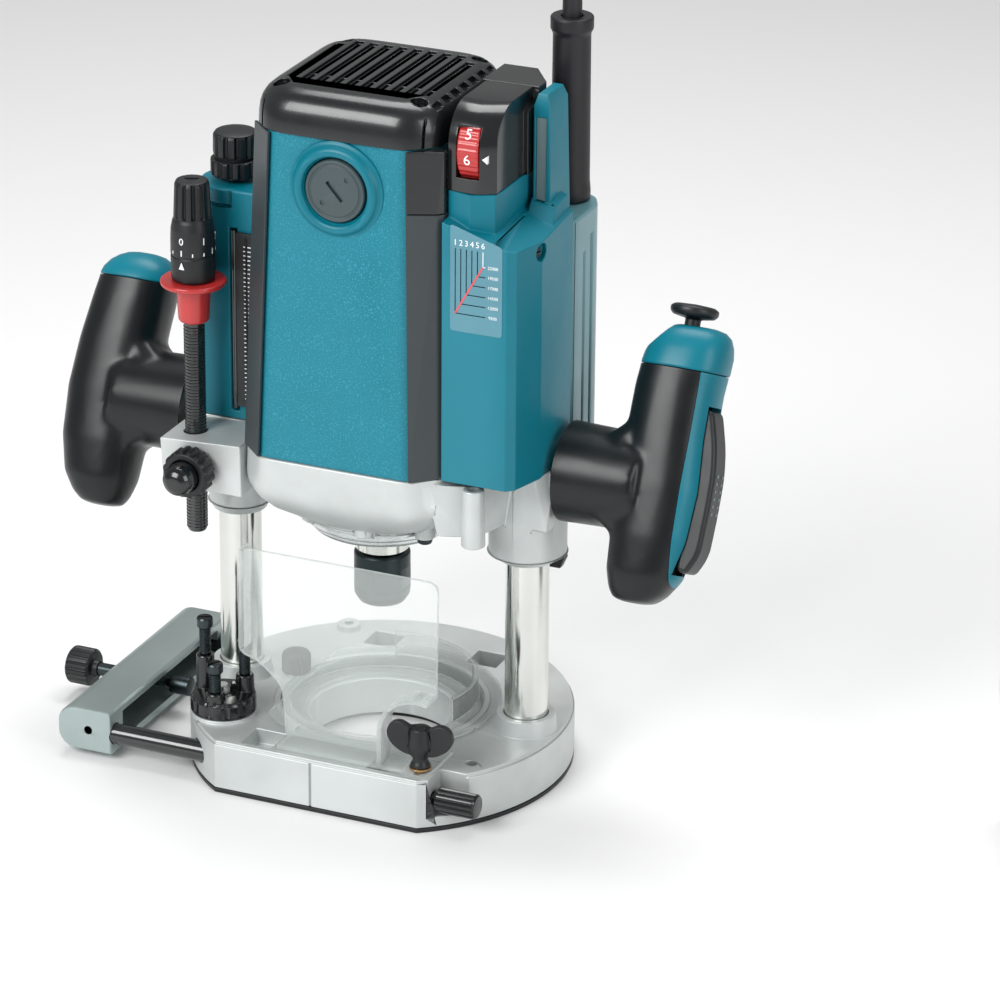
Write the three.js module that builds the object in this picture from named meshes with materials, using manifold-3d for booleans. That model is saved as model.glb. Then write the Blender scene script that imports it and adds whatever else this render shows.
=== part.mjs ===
// Plunge router: a motor unit that slides on two columns above a round base.
// Millimetres, +Z up. +X runs along the handles towards the trigger grip, and -Y is the front, where
// the deflector is. Every piece is drawn from the spindle axis, on the surface the base stands on,
// and the whole is then moved so that the origin is below the middle of the base.

import * as THREE from "three";
import { ConvexGeometry } from "three/addons/geometries/ConvexGeometry.js";
import { mergeVertices } from "three/addons/utils/BufferGeometryUtils.js";
import Module from "manifold-3d";

const wasm = await Module();
wasm.setup();

// Driving dimensions
const GAP = 0.3; // air between pieces that touch
const BASE_RADIUS = 85;
const BASE_FRONT = -70; // the flat front edge of the base
const BASE_TOP = 24.5;
const SOLE_THICK = 2;
const HOLE_RADIUS = 32; // the opening the cutter passes through
const TRAY_RADIUS = 45; // the shallow step around that opening
const COLUMN_X = 69; // each column's distance from the spindle axis
const COLUMN_RADIUS = 9.5;
const COLUMN_BORE = 7;
const PLUNGE_TRAVEL = 60;
const SPRING_TOP = 240;
const COLUMN_TOP = SPRING_TOP - PLUNGE_TRAVEL - 8;
const HOUSING_BOTTOM = 153;
const HOUSING_TOP = 298;
const COVER_TOP = 316.5;
const WALL = 3.2;
const ROD_RADIUS = 4.7; // guide rods
const ROD_Z = 12;
const ROD_FRONT_Y = -58;
const ROD_REAR_Y = 47;
const POLE_X = -74.5; // depth pole
const POLE_Y = -31;
const POLE_RADIUS = 4.7;
const TURRET_X = -58;
const TURRET_Y = -41;
const TURRET_CIRCLE = 9.6; // the circle that the stop screws stand on
const CLAMP_X = -68.5;
const CLAMP_Z = 140;
const GRIP_Z = 149;
const GRIP_LEAN = THREE.MathUtils.degToRad(25); // both grips lean back
const GUARD_X = 71;
const GUARD_Y = 37;
const TOWER_TOP = 258; // left tower
const BRUSH_Z = 277;
const DIAL_Y = -21.2; // speed dial
const DIAL_Z = 298;
const DIAL_RADIUS = 16.5;
const SHANK_RADIUS = 6;
const CORD_RADIUS = 4.2;
const ROUND = 16; // sides of an ordinary round piece
const SMALL_ROUND = 12; // sides of a thin pin or a small bore

// Looks
const TEAL = { color: 0x0f7f90, roughness: 0.42, metalness: 0.0 };
const TEAL_GREY = { color: 0x5f9096, roughness: 0.4, metalness: 0.0 };
const GLOSS_BLACK = { color: 0x1a1d1f, roughness: 0.18, metalness: 0.0 };
const MATT_BLACK = { color: 0x23272a, roughness: 0.55, metalness: 0.0 };
const RUBBER = { color: 0x1d1c20, roughness: 0.6, metalness: 0.0 };
const STRIP_GREY = { color: 0x474f53, roughness: 0.5, metalness: 0.0 };
const CAP_GREY = { color: 0x6a7b7d, roughness: 0.5, metalness: 0.0 };
const RED = { color: 0xc03a38, roughness: 0.45, metalness: 0.0 };
const CLEAR = { color: 0xdfe8e5, roughness: 0.08, metalness: 0.0, transparent: true, opacity: 0.35 };
const CAST_ALLOY = { color: 0xc9cdcd, roughness: 0.45, metalness: 0.75 };
const BAR_ALLOY = { color: 0xb4bdba, roughness: 0.4, metalness: 0.7 };
const STEEL = { color: 0xc4c4c0, roughness: 0.2, metalness: 1.0 };
const DARK_STEEL = { color: 0x2f3638, roughness: 0.4, metalness: 0.8 };
const BRONZE = { color: 0xa98a4e, roughness: 0.4, metalness: 0.9 };
const IRON = { color: 0x77706a, roughness: 0.6, metalness: 0.8 };

// Solids

function solid(geometry) {
  const bare = geometry.clone();
  bare.deleteAttribute("normal");
  bare.deleteAttribute("uv");
  const merged = mergeVertices(bare, 1e-4);
  const vertProperties = new Float32Array(merged.attributes.position.array);
  const triVerts = new Uint32Array(merged.index.array);
  return new wasm.Manifold(new wasm.Mesh({ numProp: 3, vertProperties, triVerts }));
}

function piece(name, shape, look) {
  const mesh = shape.getMesh();
  const geometry = new THREE.BufferGeometry();
  geometry.setAttribute("position", new THREE.BufferAttribute(new Float32Array(mesh.vertProperties), 3));
  geometry.setIndex(new THREE.BufferAttribute(new Uint32Array(mesh.triVerts), 1));
  geometry.computeVertexNormals();
  const result = new THREE.Mesh(geometry, new THREE.MeshStandardMaterial(look));
  result.name = name;
  return result;
}

function join(first, ...others) {
  return others.reduce((whole, other) => whole.add(other), first);
}

function cut(first, ...others) {
  return others.reduce((whole, other) => whole.subtract(other), first);
}

function box([x0, x1], [y0, y1], [z0, z1]) {
  const geometry = new THREE.BoxGeometry(x1 - x0, y1 - y0, z1 - z0);
  return solid(geometry.translate((x0 + x1) / 2, (y0 + y1) / 2, (z0 + z1) / 2));
}

// A cylinder or cone between two points
function barrel(start, end, radius, sides = ROUND, endRadius = radius) {
  const from = new THREE.Vector3(...start);
  const to = new THREE.Vector3(...end);
  const along = to.clone().sub(from);
  const geometry = new THREE.CylinderGeometry(endRadius, radius, along.length(), sides);
  const turn = new THREE.Quaternion().setFromUnitVectors(new THREE.Vector3(0, 1, 0), along.normalize());
  geometry.applyQuaternion(turn);
  return solid(geometry.translate(...from.add(to).multiplyScalar(0.5).toArray()));
}

function upright(x, y, [z0, z1], radius, sides = ROUND, endRadius = radius) {
  return barrel([x, y, z0], [x, y, z1], radius, sides, endRadius);
}

// A turned piece about Z: profile is a list of [radius, height], bottom first
function turned(profile, sides = ROUND) {
  const points = profile.map(([radius, height]) => new THREE.Vector2(radius, height));
  return solid(new THREE.LatheGeometry(points, sides).rotateX(Math.PI / 2));
}

// A closed outline in X and Y pushed up in Z
function prism(shape, [z0, z1], curveSegments = 12) {
  const settings = { depth: z1 - z0, bevelEnabled: false, curveSegments };
  return solid(new THREE.ExtrudeGeometry(shape, settings).translate(0, 0, z0));
}

function outline(points) {
  return new THREE.Shape(points.map(([x, y]) => new THREE.Vector2(x, y)));
}

// An outline in Y and Z pushed along X
function sidePrism(points, [x0, x1]) {
  const settings = { depth: x1 - x0, bevelEnabled: false };
  const geometry = new THREE.ExtrudeGeometry(outline(points), settings);
  return solid(geometry.rotateX(Math.PI / 2).rotateZ(Math.PI / 2).translate(x0, 0, 0));
}

function hull(points) {
  return solid(new ConvexGeometry(points.map(([x, y, z]) => new THREE.Vector3(x, y, z))));
}

// A skin over a stack of rings that each have the same number of points
function skin(rings) {
  const sides = rings[0].length;
  const last = rings.length - 1;
  const positions = rings.flat(2);
  const index = [];
  for (let r = 0; r < last; r++) {
    for (let i = 0; i < sides; i++) {
      const a = r * sides + i;
      const b = r * sides + ((i + 1) % sides);
      index.push(a, b, a + sides, b, b + sides, a + sides);
    }
  }
  for (let i = 1; i < sides - 1; i++) {
    index.push(0, i + 1, i);
    index.push(last * sides, last * sides + i, last * sides + i + 1);
  }
  const geometry = new THREE.BufferGeometry();
  geometry.setAttribute("position", new THREE.Float32BufferAttribute(positions, 3));
  geometry.setIndex(index);
  return solid(geometry);
}

// A knob about Z with shallow flutes cut in its rim
function fluted(profile, count, rim, fluteRadius, [z0, z1]) {
  let knob = turned(profile, count * 2);
  for (let i = 0; i < count; i++) {
    const angle = ((i + 0.5) * 2 * Math.PI) / count;
    const reach = rim + fluteRadius * 0.45;
    const flute = upright(reach * Math.cos(angle), reach * Math.sin(angle), [z0, z1], fluteRadius, 4);
    knob = cut(knob, flute);
  }
  return knob;
}

function place(mesh, [x, y, z], [rx, ry, rz] = [0, 0, 0]) {
  mesh.position.set(x, y, z);
  mesh.rotation.set(rx, ry, rz);
  return mesh;
}

// Base

function baseOutline(radius, front) {
  const flat = Math.asin(front / radius);
  const shape = new THREE.Shape();
  shape.absarc(0, 0, radius, flat, Math.PI - flat, false);
  shape.closePath();
  return shape;
}

function basePlate([z0, z1], inset) {
  return prism(baseOutline(BASE_RADIUS - inset, BASE_FRONT + inset), [z0, z1], 28);
}

function baseParts() {
  const bottom = SOLE_THICK + GAP;
  const lower = basePlate([bottom, BASE_TOP - 1.5], 0);
  const lip = basePlate([BASE_TOP - 1.6, BASE_TOP], 1);
  const columnBoss = (side) => upright(side * COLUMN_X, 0, [BASE_TOP - 1, 32], 14.2, ROUND, 12.8);
  const turretBoss = upright(TURRET_X, TURRET_Y, [BASE_TOP - 1, 26], 14.6);
  const tappedBoss = upright(-45, 61, [BASE_TOP - 1, 27.5], 5.2, SMALL_ROUND);
  const turretStud = join(
    upright(TURRET_X, TURRET_Y, [25, 36], 3, 14),
    upright(TURRET_X, TURRET_Y, [35.5, 38], 2.2, 14),
  );
  let casting = join(lower, lip, columnBoss(-1), columnBoss(1), turretBoss, turretStud, tappedBoss);

  const openings = [
    upright(0, 0, [0, 40], HOLE_RADIUS, 26),
    upright(0, 0, [19, 40], TRAY_RADIUS, 26),
    upright(-45, 61, [18, 40], 2, 10),
    upright(62, -43, [14, 40], 2.6, 12),
  ];
  for (const side of [-1, 1]) {
    openings.push(upright(side * COLUMN_X, 0, [8, 40], COLUMN_RADIUS + GAP));
    openings.push(box([side * 25.5 - 7.2, side * 25.5 + 7.2], [50, 64.4], [6, 40]));
    openings.push(box([side * 30 - 7.2, side * 30 + 7.2], [-66, -50.5], [17.5, 40]));
  }
  for (const y of [ROD_FRONT_Y, ROD_REAR_Y]) {
    openings.push(barrel([-90, y, ROD_Z], [46, y, ROD_Z], ROD_RADIUS + GAP, SMALL_ROUND));
  }
  openings.push(box([52, 90], [-90, -54], [7, 40])); // the open corner around the rod clamp
  openings.push(barrel([44, -61, 13.5], [60, -61, 13.5], 3.2, 12));
  openings.push(upright(46, -61, [16, 40], 2.4, 12));
  openings.push(box([-3, -1.6], [-75, -69.2], [0, 23])); // the seam in the front wall
  casting = cut(casting, ...openings);

  const sole = cut(basePlate([0, SOLE_THICK], 0), upright(0, 0, [-5, 5], HOLE_RADIUS + 2, 26));
  return [piece("sole_plate", sole, MATT_BLACK), piece("base_casting", casting, CAST_ALLOY)];
}

function columnParts(side, name) {
  const x = side * COLUMN_X;
  const tube = cut(
    upright(x, 0, [8 + GAP, COLUMN_TOP], COLUMN_RADIUS),
    upright(x, 0, [14, COLUMN_TOP + 5], COLUMN_BORE),
  );

  const turns = 7;
  const spring = new THREE.Curve();
  spring.getPoint = (t, target = new THREE.Vector3()) => {
    const angle = t * turns * 2 * Math.PI;
    return target.set(5.5 * Math.cos(angle), 5.5 * Math.sin(angle), 15.5 + t * (SPRING_TOP - 17));
  };
  const wire = new THREE.Shape().absarc(0, 0, 0.8, 0, 2 * Math.PI, false);
  const settings = { steps: turns * 6, curveSegments: 2, bevelEnabled: false, extrudePath: spring };
  const coil = solid(new THREE.ExtrudeGeometry(wire, settings).translate(x, 0, 0));

  return [piece(`${name}_column`, tube, STEEL), piece(`${name}_return_spring`, coil, STEEL)];
}

function limitRod() {
  const rod = turned([[0, 14.3], [3.6, 14.3], [3.6, 276], [0, 276]], 14);
  return place(piece("height_limit_rod", rod, DARK_STEEL), [-COLUMN_X, 0, 0]);
}

function deflectorParts() {
  const ring = turned([[34, 19.3], [TRAY_RADIUS - 2 * GAP, 19.3], [TRAY_RADIUS - 2 * GAP, 25],
    [53, 25], [53, 27], [42.5, 27], [42.5, 38], [40.8, 38], [40.8, 21.2], [34, 21.2], [34, 19.3]], 24);
  // The tray keeps its rear and right wall, and the front is open for the cutter and the screws
  const opened = cut(ring, box([-70, -12], [-70, 70], [26, 60]), box([-70, 90], [-70, -14], [26, 60]),
    box([-90, -39], [-90, 90], [24.6, 60]), box([-90, 90], [-90, -47], [24.6, 60]));
  const shelf = box([-20, 52], [-66, -40], [BASE_TOP + GAP, 26.8]);
  const shelfCut = upright(0, 0, [0, 60], 42, 24);
  const panelBase = box([-20, 51], [-56.5, -53.5], [26, 48]);
  // The panel leans back by 2 mm towards its top
  const panelCorners = [[-43, 62, 2], [-20, 46, 0], [51, 46, 0], [51, 108, 2], [49, 111, 2], [-43, 111, 2]];
  const panelTop = hull(panelCorners.flatMap(([x, z, back]) => [[x, back - 56.5, z], [x, back - 54.5, z]]));
  const screwRoom = upright(46, -61, [20, 60], 2.6, 12);
  const archway = join(box([29.5, 62.5], [-70, -52], [27, 42]), barrel([46, -70, 42], [46, -52, 42], 16.5));
  const body = cut(join(opened, cut(shelf, shelfCut), panelBase, panelTop), screwRoom, archway);
  const deflector = piece("chip_deflector", body, CLEAR);

  const thumb = fluted([[0, 27.3], [6.6, 27.3], [6.6, 35], [5.6, 36.3], [0, 37]], 8, 6.6, 1, [26, 38]);
  const screw = place(piece("deflector_screw", thumb, MATT_BLACK), [-47, 10, -BASE_TOP + 22]);

  const hub = turned([[0, 17], [2.1, 17], [2.1, 27.2], [4.4, 27.2], [4.4, 29], [3.4, 31], [5.2, 37],
    [4.2, 46], [0, 47]], SMALL_ROUND);
  const wing = hull([[-14, -1.6, 38], [-14, 1.6, 38], [-15, -1.6, 44], [-15, 1.6, 44], [-11, -1.6, 48],
    [-11, 1.6, 48], [0, -2, 34], [0, 2, 34], [0, -2, 46], [0, 2, 46], [11, -1.6, 48], [11, 1.6, 48],
    [15, -1.6, 44], [15, 1.6, 44], [14, -1.6, 38], [14, 1.6, 38]]);
  const wingScrew = place(piece("wing_screw", join(hub, wing), MATT_BLACK), [46, -61, 0], [0, 0, 0.1]);
  return [deflector, screw, wingScrew];
}

function rodClampScrew() {
  const screw = join(
    turned([[0, 0], [2.8, 0], [2.8, 9], [0, 9]], 12),
    fluted([[0, 8.5], [5.6, 8.5], [5.6, 26], [4.8, 27], [0, 27]], 8, 5.6, 0.8, [8, 30]),
  );
  return place(piece("rod_clamp_screw", screw, MATT_BLACK), [46, -61, 13.5], [0, Math.PI / 2, 0]);
}

// Stop turret

function turretParts() {
  const disc = turned([[3.7, 26.4], [14.3, 26.4], [14.6, 27.2], [14.6, 32.5], [13.6, 34], [8, 34.6],
    [3.7, 34.6], [3.7, 26.4]], 20);
  const posts = [[170, 50, 67.5], [275, 38, 52], [35, 42, 58]].map(([degrees, sleeve, top]) => {
    const angle = THREE.MathUtils.degToRad(degrees);
    return { x: TURRET_CIRCLE * Math.cos(angle), y: TURRET_CIRCLE * Math.sin(angle), sleeve, top };
  });
  let block = disc;
  for (const post of posts) {
    block = join(block, upright(post.x, post.y, [33, post.sleeve], 4, SMALL_ROUND));
  }
  for (const post of posts) {
    block = cut(block, upright(post.x, post.y, [30, 60], 2.3, 8));
  }
  block = cut(block, upright(0, 0, [20, 60], 3.7, SMALL_ROUND));
  const parts = [place(piece("stopper_block", block, GLOSS_BLACK), [TURRET_X, TURRET_Y, 0])];

  posts.forEach((post, i) => {
    const head = post.top - 4.5;
    const profile = [[0, 30.4], [2, 30.4], [2, post.sleeve + GAP], [2.6, post.sleeve + GAP],
      [2.6, head], [3.6, head], [3.6, post.top - 0.5], [3.2, post.top], [0, post.top]];
    const screw = cut(turned(profile, SMALL_ROUND), box([-4, 4], [-0.5, 0.5], [post.top - 1.2, 90]));
    const at = [TURRET_X + post.x, TURRET_Y + post.y, 0];
    parts.push(place(piece(`stopper_screw_${i + 1}`, screw, DARK_STEEL), at));
  });

  return parts;
}

// Side guide: a channel bar on two rods, with a fine adjusting screw

function guideParts() {
  const rod = (name, y) => {
    const bar = join(
      barrel([-124, y, ROD_Z], [36, y, ROD_Z], ROD_RADIUS, SMALL_ROUND),
      barrel([36, y, ROD_Z], [38, y, ROD_Z], ROD_RADIUS, SMALL_ROUND, ROD_RADIUS - 1.2),
    );
    return piece(name, bar, GLOSS_BLACK);
  };
  const profile = new THREE.Shape();
  const [back, front, low, high, round] = [-129, -103, 3.5, 23.5, 8];
  profile.moveTo(front, low);
  profile.lineTo(front, high - 1);
  profile.lineTo(front - 1, high);
  profile.lineTo(back + round, high);
  profile.absarc(back + round, high - round, round, Math.PI / 2, Math.PI, false);
  profile.absarc(back + round, low + round, round, Math.PI, Math.PI * 1.5, false);
  const settings = { depth: 118, bevelEnabled: false, curveSegments: 6 };
  const body = new THREE.ExtrudeGeometry(profile, settings).rotateX(Math.PI / 2).translate(0, 55, 0);
  const hollow = box([-125, -100], [-51, 43], [7, 20]);
  const rodHoles = [ROD_FRONT_Y, ROD_REAR_Y].map((y) =>
    barrel([-124.3, y, ROD_Z], [-90, y, ROD_Z], ROD_RADIUS + GAP, SMALL_ROUND));
  const screwHole = barrel([-140, -4, 13.5], [-100, -4, 13.5], 3.4, 14);
  const endHole = barrel([-114, -70, 13.5], [-114, -59, 13.5], 2, 12);
  const bar = cut(solid(body), hollow, ...rodHoles, screwHole, endHole);

  const thread = join(
    turned([[0, 0], [3, 0], [3, 14], [0, 14]], 14),
    turned([[0, 13], [2.4, 13], [2.4, 40], [4.4, 41], [4.4, 50], [0, 50]], 14),
  );
  const alongX = [0, Math.PI / 2, 0];
  const screw = place(piece("fine_adjust_screw", thread, DARK_STEEL), [-143, -4, 13.5], alongX);
  const rim = [[0, 0], [7.4, 0], [8.6, 1.2], [8.6, 11], [7.6, 12], [3.4, 12], [3.4, 14.5], [0, 14.5]];
  const socket = turned([[0, 10], [3.3, 10], [3.3, 20], [0, 20]], SMALL_ROUND);
  const grip = cut(fluted(rim, 12, 8.6, 0.9, [-1, 13]), socket);
  const knob = place(piece("fine_adjust_knob", grip, MATT_BLACK), [-153.5, -4, 13.5], alongX);
  return [
    rod("guide_rod_front", ROD_FRONT_Y),
    rod("guide_rod_rear", ROD_REAR_Y),
    piece("guide_bar", bar, BAR_ALLOY),
    screw,
    knob,
  ];
}

// Motor unit

// The motor case's eight-sided outline at a height, grown by an offset
function caseRing(z, offset = 0) {
  const rise = (z - HOUSING_BOTTOM) / (HOUSING_TOP - HOUSING_BOTTOM);
  const wide = THREE.MathUtils.lerp(45.7, 41.8, rise) + offset;
  const deep = THREE.MathUtils.lerp(49, 43.5, rise) + offset;
  const corner = 11 + offset * 0.59;
  const ring = [];
  for (const [sx, sy] of [[1, 1], [-1, 1], [-1, -1], [1, -1]]) {
    const tips = [[wide, deep - corner], [wide - corner, deep]];
    if (sx !== sy) tips.reverse();
    ring.push(...tips.map(([x, y]) => [sx * x, sy * y, z]));
  }
  return ring;
}

function caseBody([z0, z1], offset = 0) {
  return skin([caseRing(z0, offset), caseRing(z1, offset)]);
}

function bracketParts() {
  const skirt = caseBody([137, HOUSING_BOTTOM - GAP], 1.2);
  const bowl = hull([
    ...caseRing(138, 1).map(([x, y, z]) => [x, y, z]),
    ...caseRing(121, -9),
  ]);
  const nose = upright(0, 0, [117.5, 140], 34, 24);
  const boss = (side, radius) => join(
    upright(side * COLUMN_X, 0, [109, 152.7], radius),
    upright(side * COLUMN_X, 0, [105, 109.1], COLUMN_RADIUS + 2.2, ROUND, radius),
  );
  // Corners in front, each with its twin behind
  const armCorners = [[-87, 12, 152.7], [87, 12, 152.7], [-82, 13, 127], [84, 15, 125], [-78, 15, 152.7],
    [78, 17, 152.7]];
  const arms = hull(armCorners.flatMap(([x, y, z]) => [[x, -y, z], [x, y, z]]));
  const clampBlock = hull([[-85.5, -44, 151], [-47, -44, 153], [-85.5, -13, 151], [-47, -13, 153],
    [-84.5, -43, 129], [-47, -43, 129], [-84.5, -13, 129], [-47, -13, 129]]);
  const stub = (side) => barrel([side * 84.9, 0, GRIP_Z], [side * 97, 0, GRIP_Z], 14);
  const rightPost = upright(60, -38, [124, 150], 5.2, 16, 4.6);
  const rib = hull([[40, -44, 150], [60, -34, 150], [70, -14, 150], [44, -20, 150], [44, -40, 126],
    [60, -34, 126], [66, -14, 126]]);
  const bosses = join(boss(-1, 13.6), boss(1, 17));
  const solidBracket = join(skirt, bowl, nose, bosses, arms, clampBlock, stub(-1), stub(1), rightPost, rib);
  const bracket = cut(
    solidBracket,
    upright(0, 0, [100, 132.5], 18.3, 20),
    upright(0, 0, [100, 170], 13),
    upright(0, 0, [140, 170], 37.5, 20),
    upright(-COLUMN_X, 0, [100, 160], 11.8),
    upright(COLUMN_X, 0, [100, 160], 11.8),
    upright(POLE_X, POLE_Y, [100, 160], POLE_RADIUS + 0.4, SMALL_ROUND),
    barrel([CLAMP_X, -50, CLAMP_Z], [CLAMP_X, -36, CLAMP_Z], 3.4, 14),
    upright(60, -38, [118, 160], 2.4, 12),
    barrel([0, 60, 130], [0, 26, 130], 3.6, 14),
    barrel([COLUMN_X, 24, 117], [COLUMN_X, 12, 117], 3.4, 14),
  );

  const flange = turned([[13.5, 110], [29, 110], [31.5, 111.5], [31.5, 113.6], [34, 114], [34, 117.2],
    [13.5, 117.2], [13.5, 110]], 24);
  const bush = (side, name) => {
    const sleeve = turned([[COLUMN_RADIUS + 0.3, 0], [11.5, 0], [11.5, 42], [COLUMN_RADIUS + 0.3, 42],
      [COLUMN_RADIUS + 0.3, 0]]);
    return place(piece(name, sleeve, BRONZE), [side * COLUMN_X, 0, 107.5]);
  };
  return [
    piece("motor_bracket", bracket, CAST_ALLOY),
    piece("bearing_flange", flange, CAST_ALLOY),
    bush(-1, "left_bushing"),
    bush(1, "right_bushing"),
  ];
}

function housingParts() {
  const outer = caseBody([HOUSING_BOTTOM, HOUSING_TOP]);
  const inner = caseBody([HOUSING_BOTTOM - 5, HOUSING_TOP + 5], -WALL);
  const brushHole = (side) => barrel([0, side * 30, BRUSH_Z], [0, side * 60, BRUSH_Z], 14.2);
  const seat = (side) => barrel([0, side * 42, BRUSH_Z], [0, side * 47.4, BRUSH_Z], 17.8);
  const seats = cut(join(seat(-1), seat(1)), inner);
  const shell = cut(join(cut(outer, inner), seats), brushHole(-1), brushHole(1));

  const cap = (side, name) => {
    const disc = turned([[0, 0], [13.7, 0], [13.7, 13.6], [12.6, 14.6], [0, 14.6]], 24);
    const slotted = cut(disc, box([-8, 8], [-1.1, 1.1], [13.2, 20]));
    const angle = side < 0 ? Math.PI / 2 : -Math.PI / 2;
    return place(piece(name, slotted, CAP_GREY), [0, side * 33.2, BRUSH_Z], [angle, 0, 0]);
  };

  // A strip lies over each front corner of the case
  const strip = (side, name) => {
    const points = [];
    for (const z of [HOUSING_BOTTOM, HOUSING_TOP]) {
      const near = caseRing(z, GAP);
      const far = caseRing(z, GAP + 1.3);
      const corner = side > 0 ? [6, 7] : [4, 5];
      points.push(...corner.map((k) => near[k]), ...corner.map((k) => far[k]));
      if (side > 0) {
        points.push([46.2, -38.6, z], [46.2, -35, z]); // reaches out to the control housing all the way up
      }
    }
    const room = caseBody([HOUSING_BOTTOM - 5, HOUSING_TOP + 5], GAP);
    const shape = cut(hull(points), room, box([46.3, 60], [-60, 0], [HOUSING_BOTTOM - 5, HOUSING_TOP + 5]));
    return piece(name, shape, STRIP_GREY);
  };
  return [
    piece("motor_housing", shell, TEAL),
    cap(-1, "brush_cap_front"),
    cap(1, "brush_cap_rear"),
    strip(-1, "corner_strip_left"),
    strip(1, "corner_strip_right"),
  ];
}

function coverPart() {
  const band = skin([caseRing(HOUSING_TOP + GAP, 1.5), caseRing(308, 1.2)]);
  const crown = hull([...caseRing(307.9, 1.2), ...caseRing(313, -1.5), ...caseRing(COVER_TOP, -7)]);
  const hollow = hull([...caseRing(HOUSING_TOP, -2.5), ...caseRing(310, -3.5), ...caseRing(313, -9)]);
  const bearingCup = upright(0, 0, [291, 315], 17);
  let cover = join(cut(join(band, crown), hollow), bearingCup);
  cover = cut(cover, upright(0, 0, [280, 303], 14.3));
  const columns = 9;
  for (let i = 0; i < columns; i++) {
    const x = (i - (columns - 1) / 2) * 6.8;
    for (const [y0, y1] of [[-27, -2], [2, 27]]) {
      cover = cut(cover, box([x - 1.6, x + 1.6], [y0, y1], [311, 330]));
    }
  }
  return piece("top_cover", cover, GLOSS_BLACK);
}

function towerParts() {
  const ring = upright(-COLUMN_X, 0, [HOUSING_BOTTOM, TOWER_TOP], 15.6, 24);
  const web = box([-64, -40], [-15.6, 15.6], [HOUSING_BOTTOM, TOWER_TOP]);
  const room = caseBody([HOUSING_BOTTOM - 5, HOUSING_TOP], GAP);
  const tower = cut(
    join(ring, web),
    room,
    upright(-COLUMN_X, 0, [140, 240.5], 11.2),
    upright(-COLUMN_X, 0, [230, TOWER_TOP + 5], 4.2, 16),
  );
  const scale = box([-61, -49.5], [-17.5, -15.9], [160, 240]);

  const nut = cut(
    join(
      fluted([[0, 260], [10.2, 260], [11, 261], [11, 268], [0, 268]], 10, 11, 1, [258, 268.5]),
      fluted([[0, 267.5], [9.8, 267.5], [9.8, 278.6], [8.8, 280], [0, 280]], 10, 9.8, 1, [269, 285]),
    ),
    turned([[0, 240], [3.9, 240], [3.9, 277.5], [0, 277.5]], 14),
  );
  return {
    fixed: [piece("left_tower", tower, TEAL), piece("scale_plate", scale, MATT_BLACK)],
    nut: place(piece("height_limit_nut", nut, MATT_BLACK), [-COLUMN_X, 0, 0]),
  };
}

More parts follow.
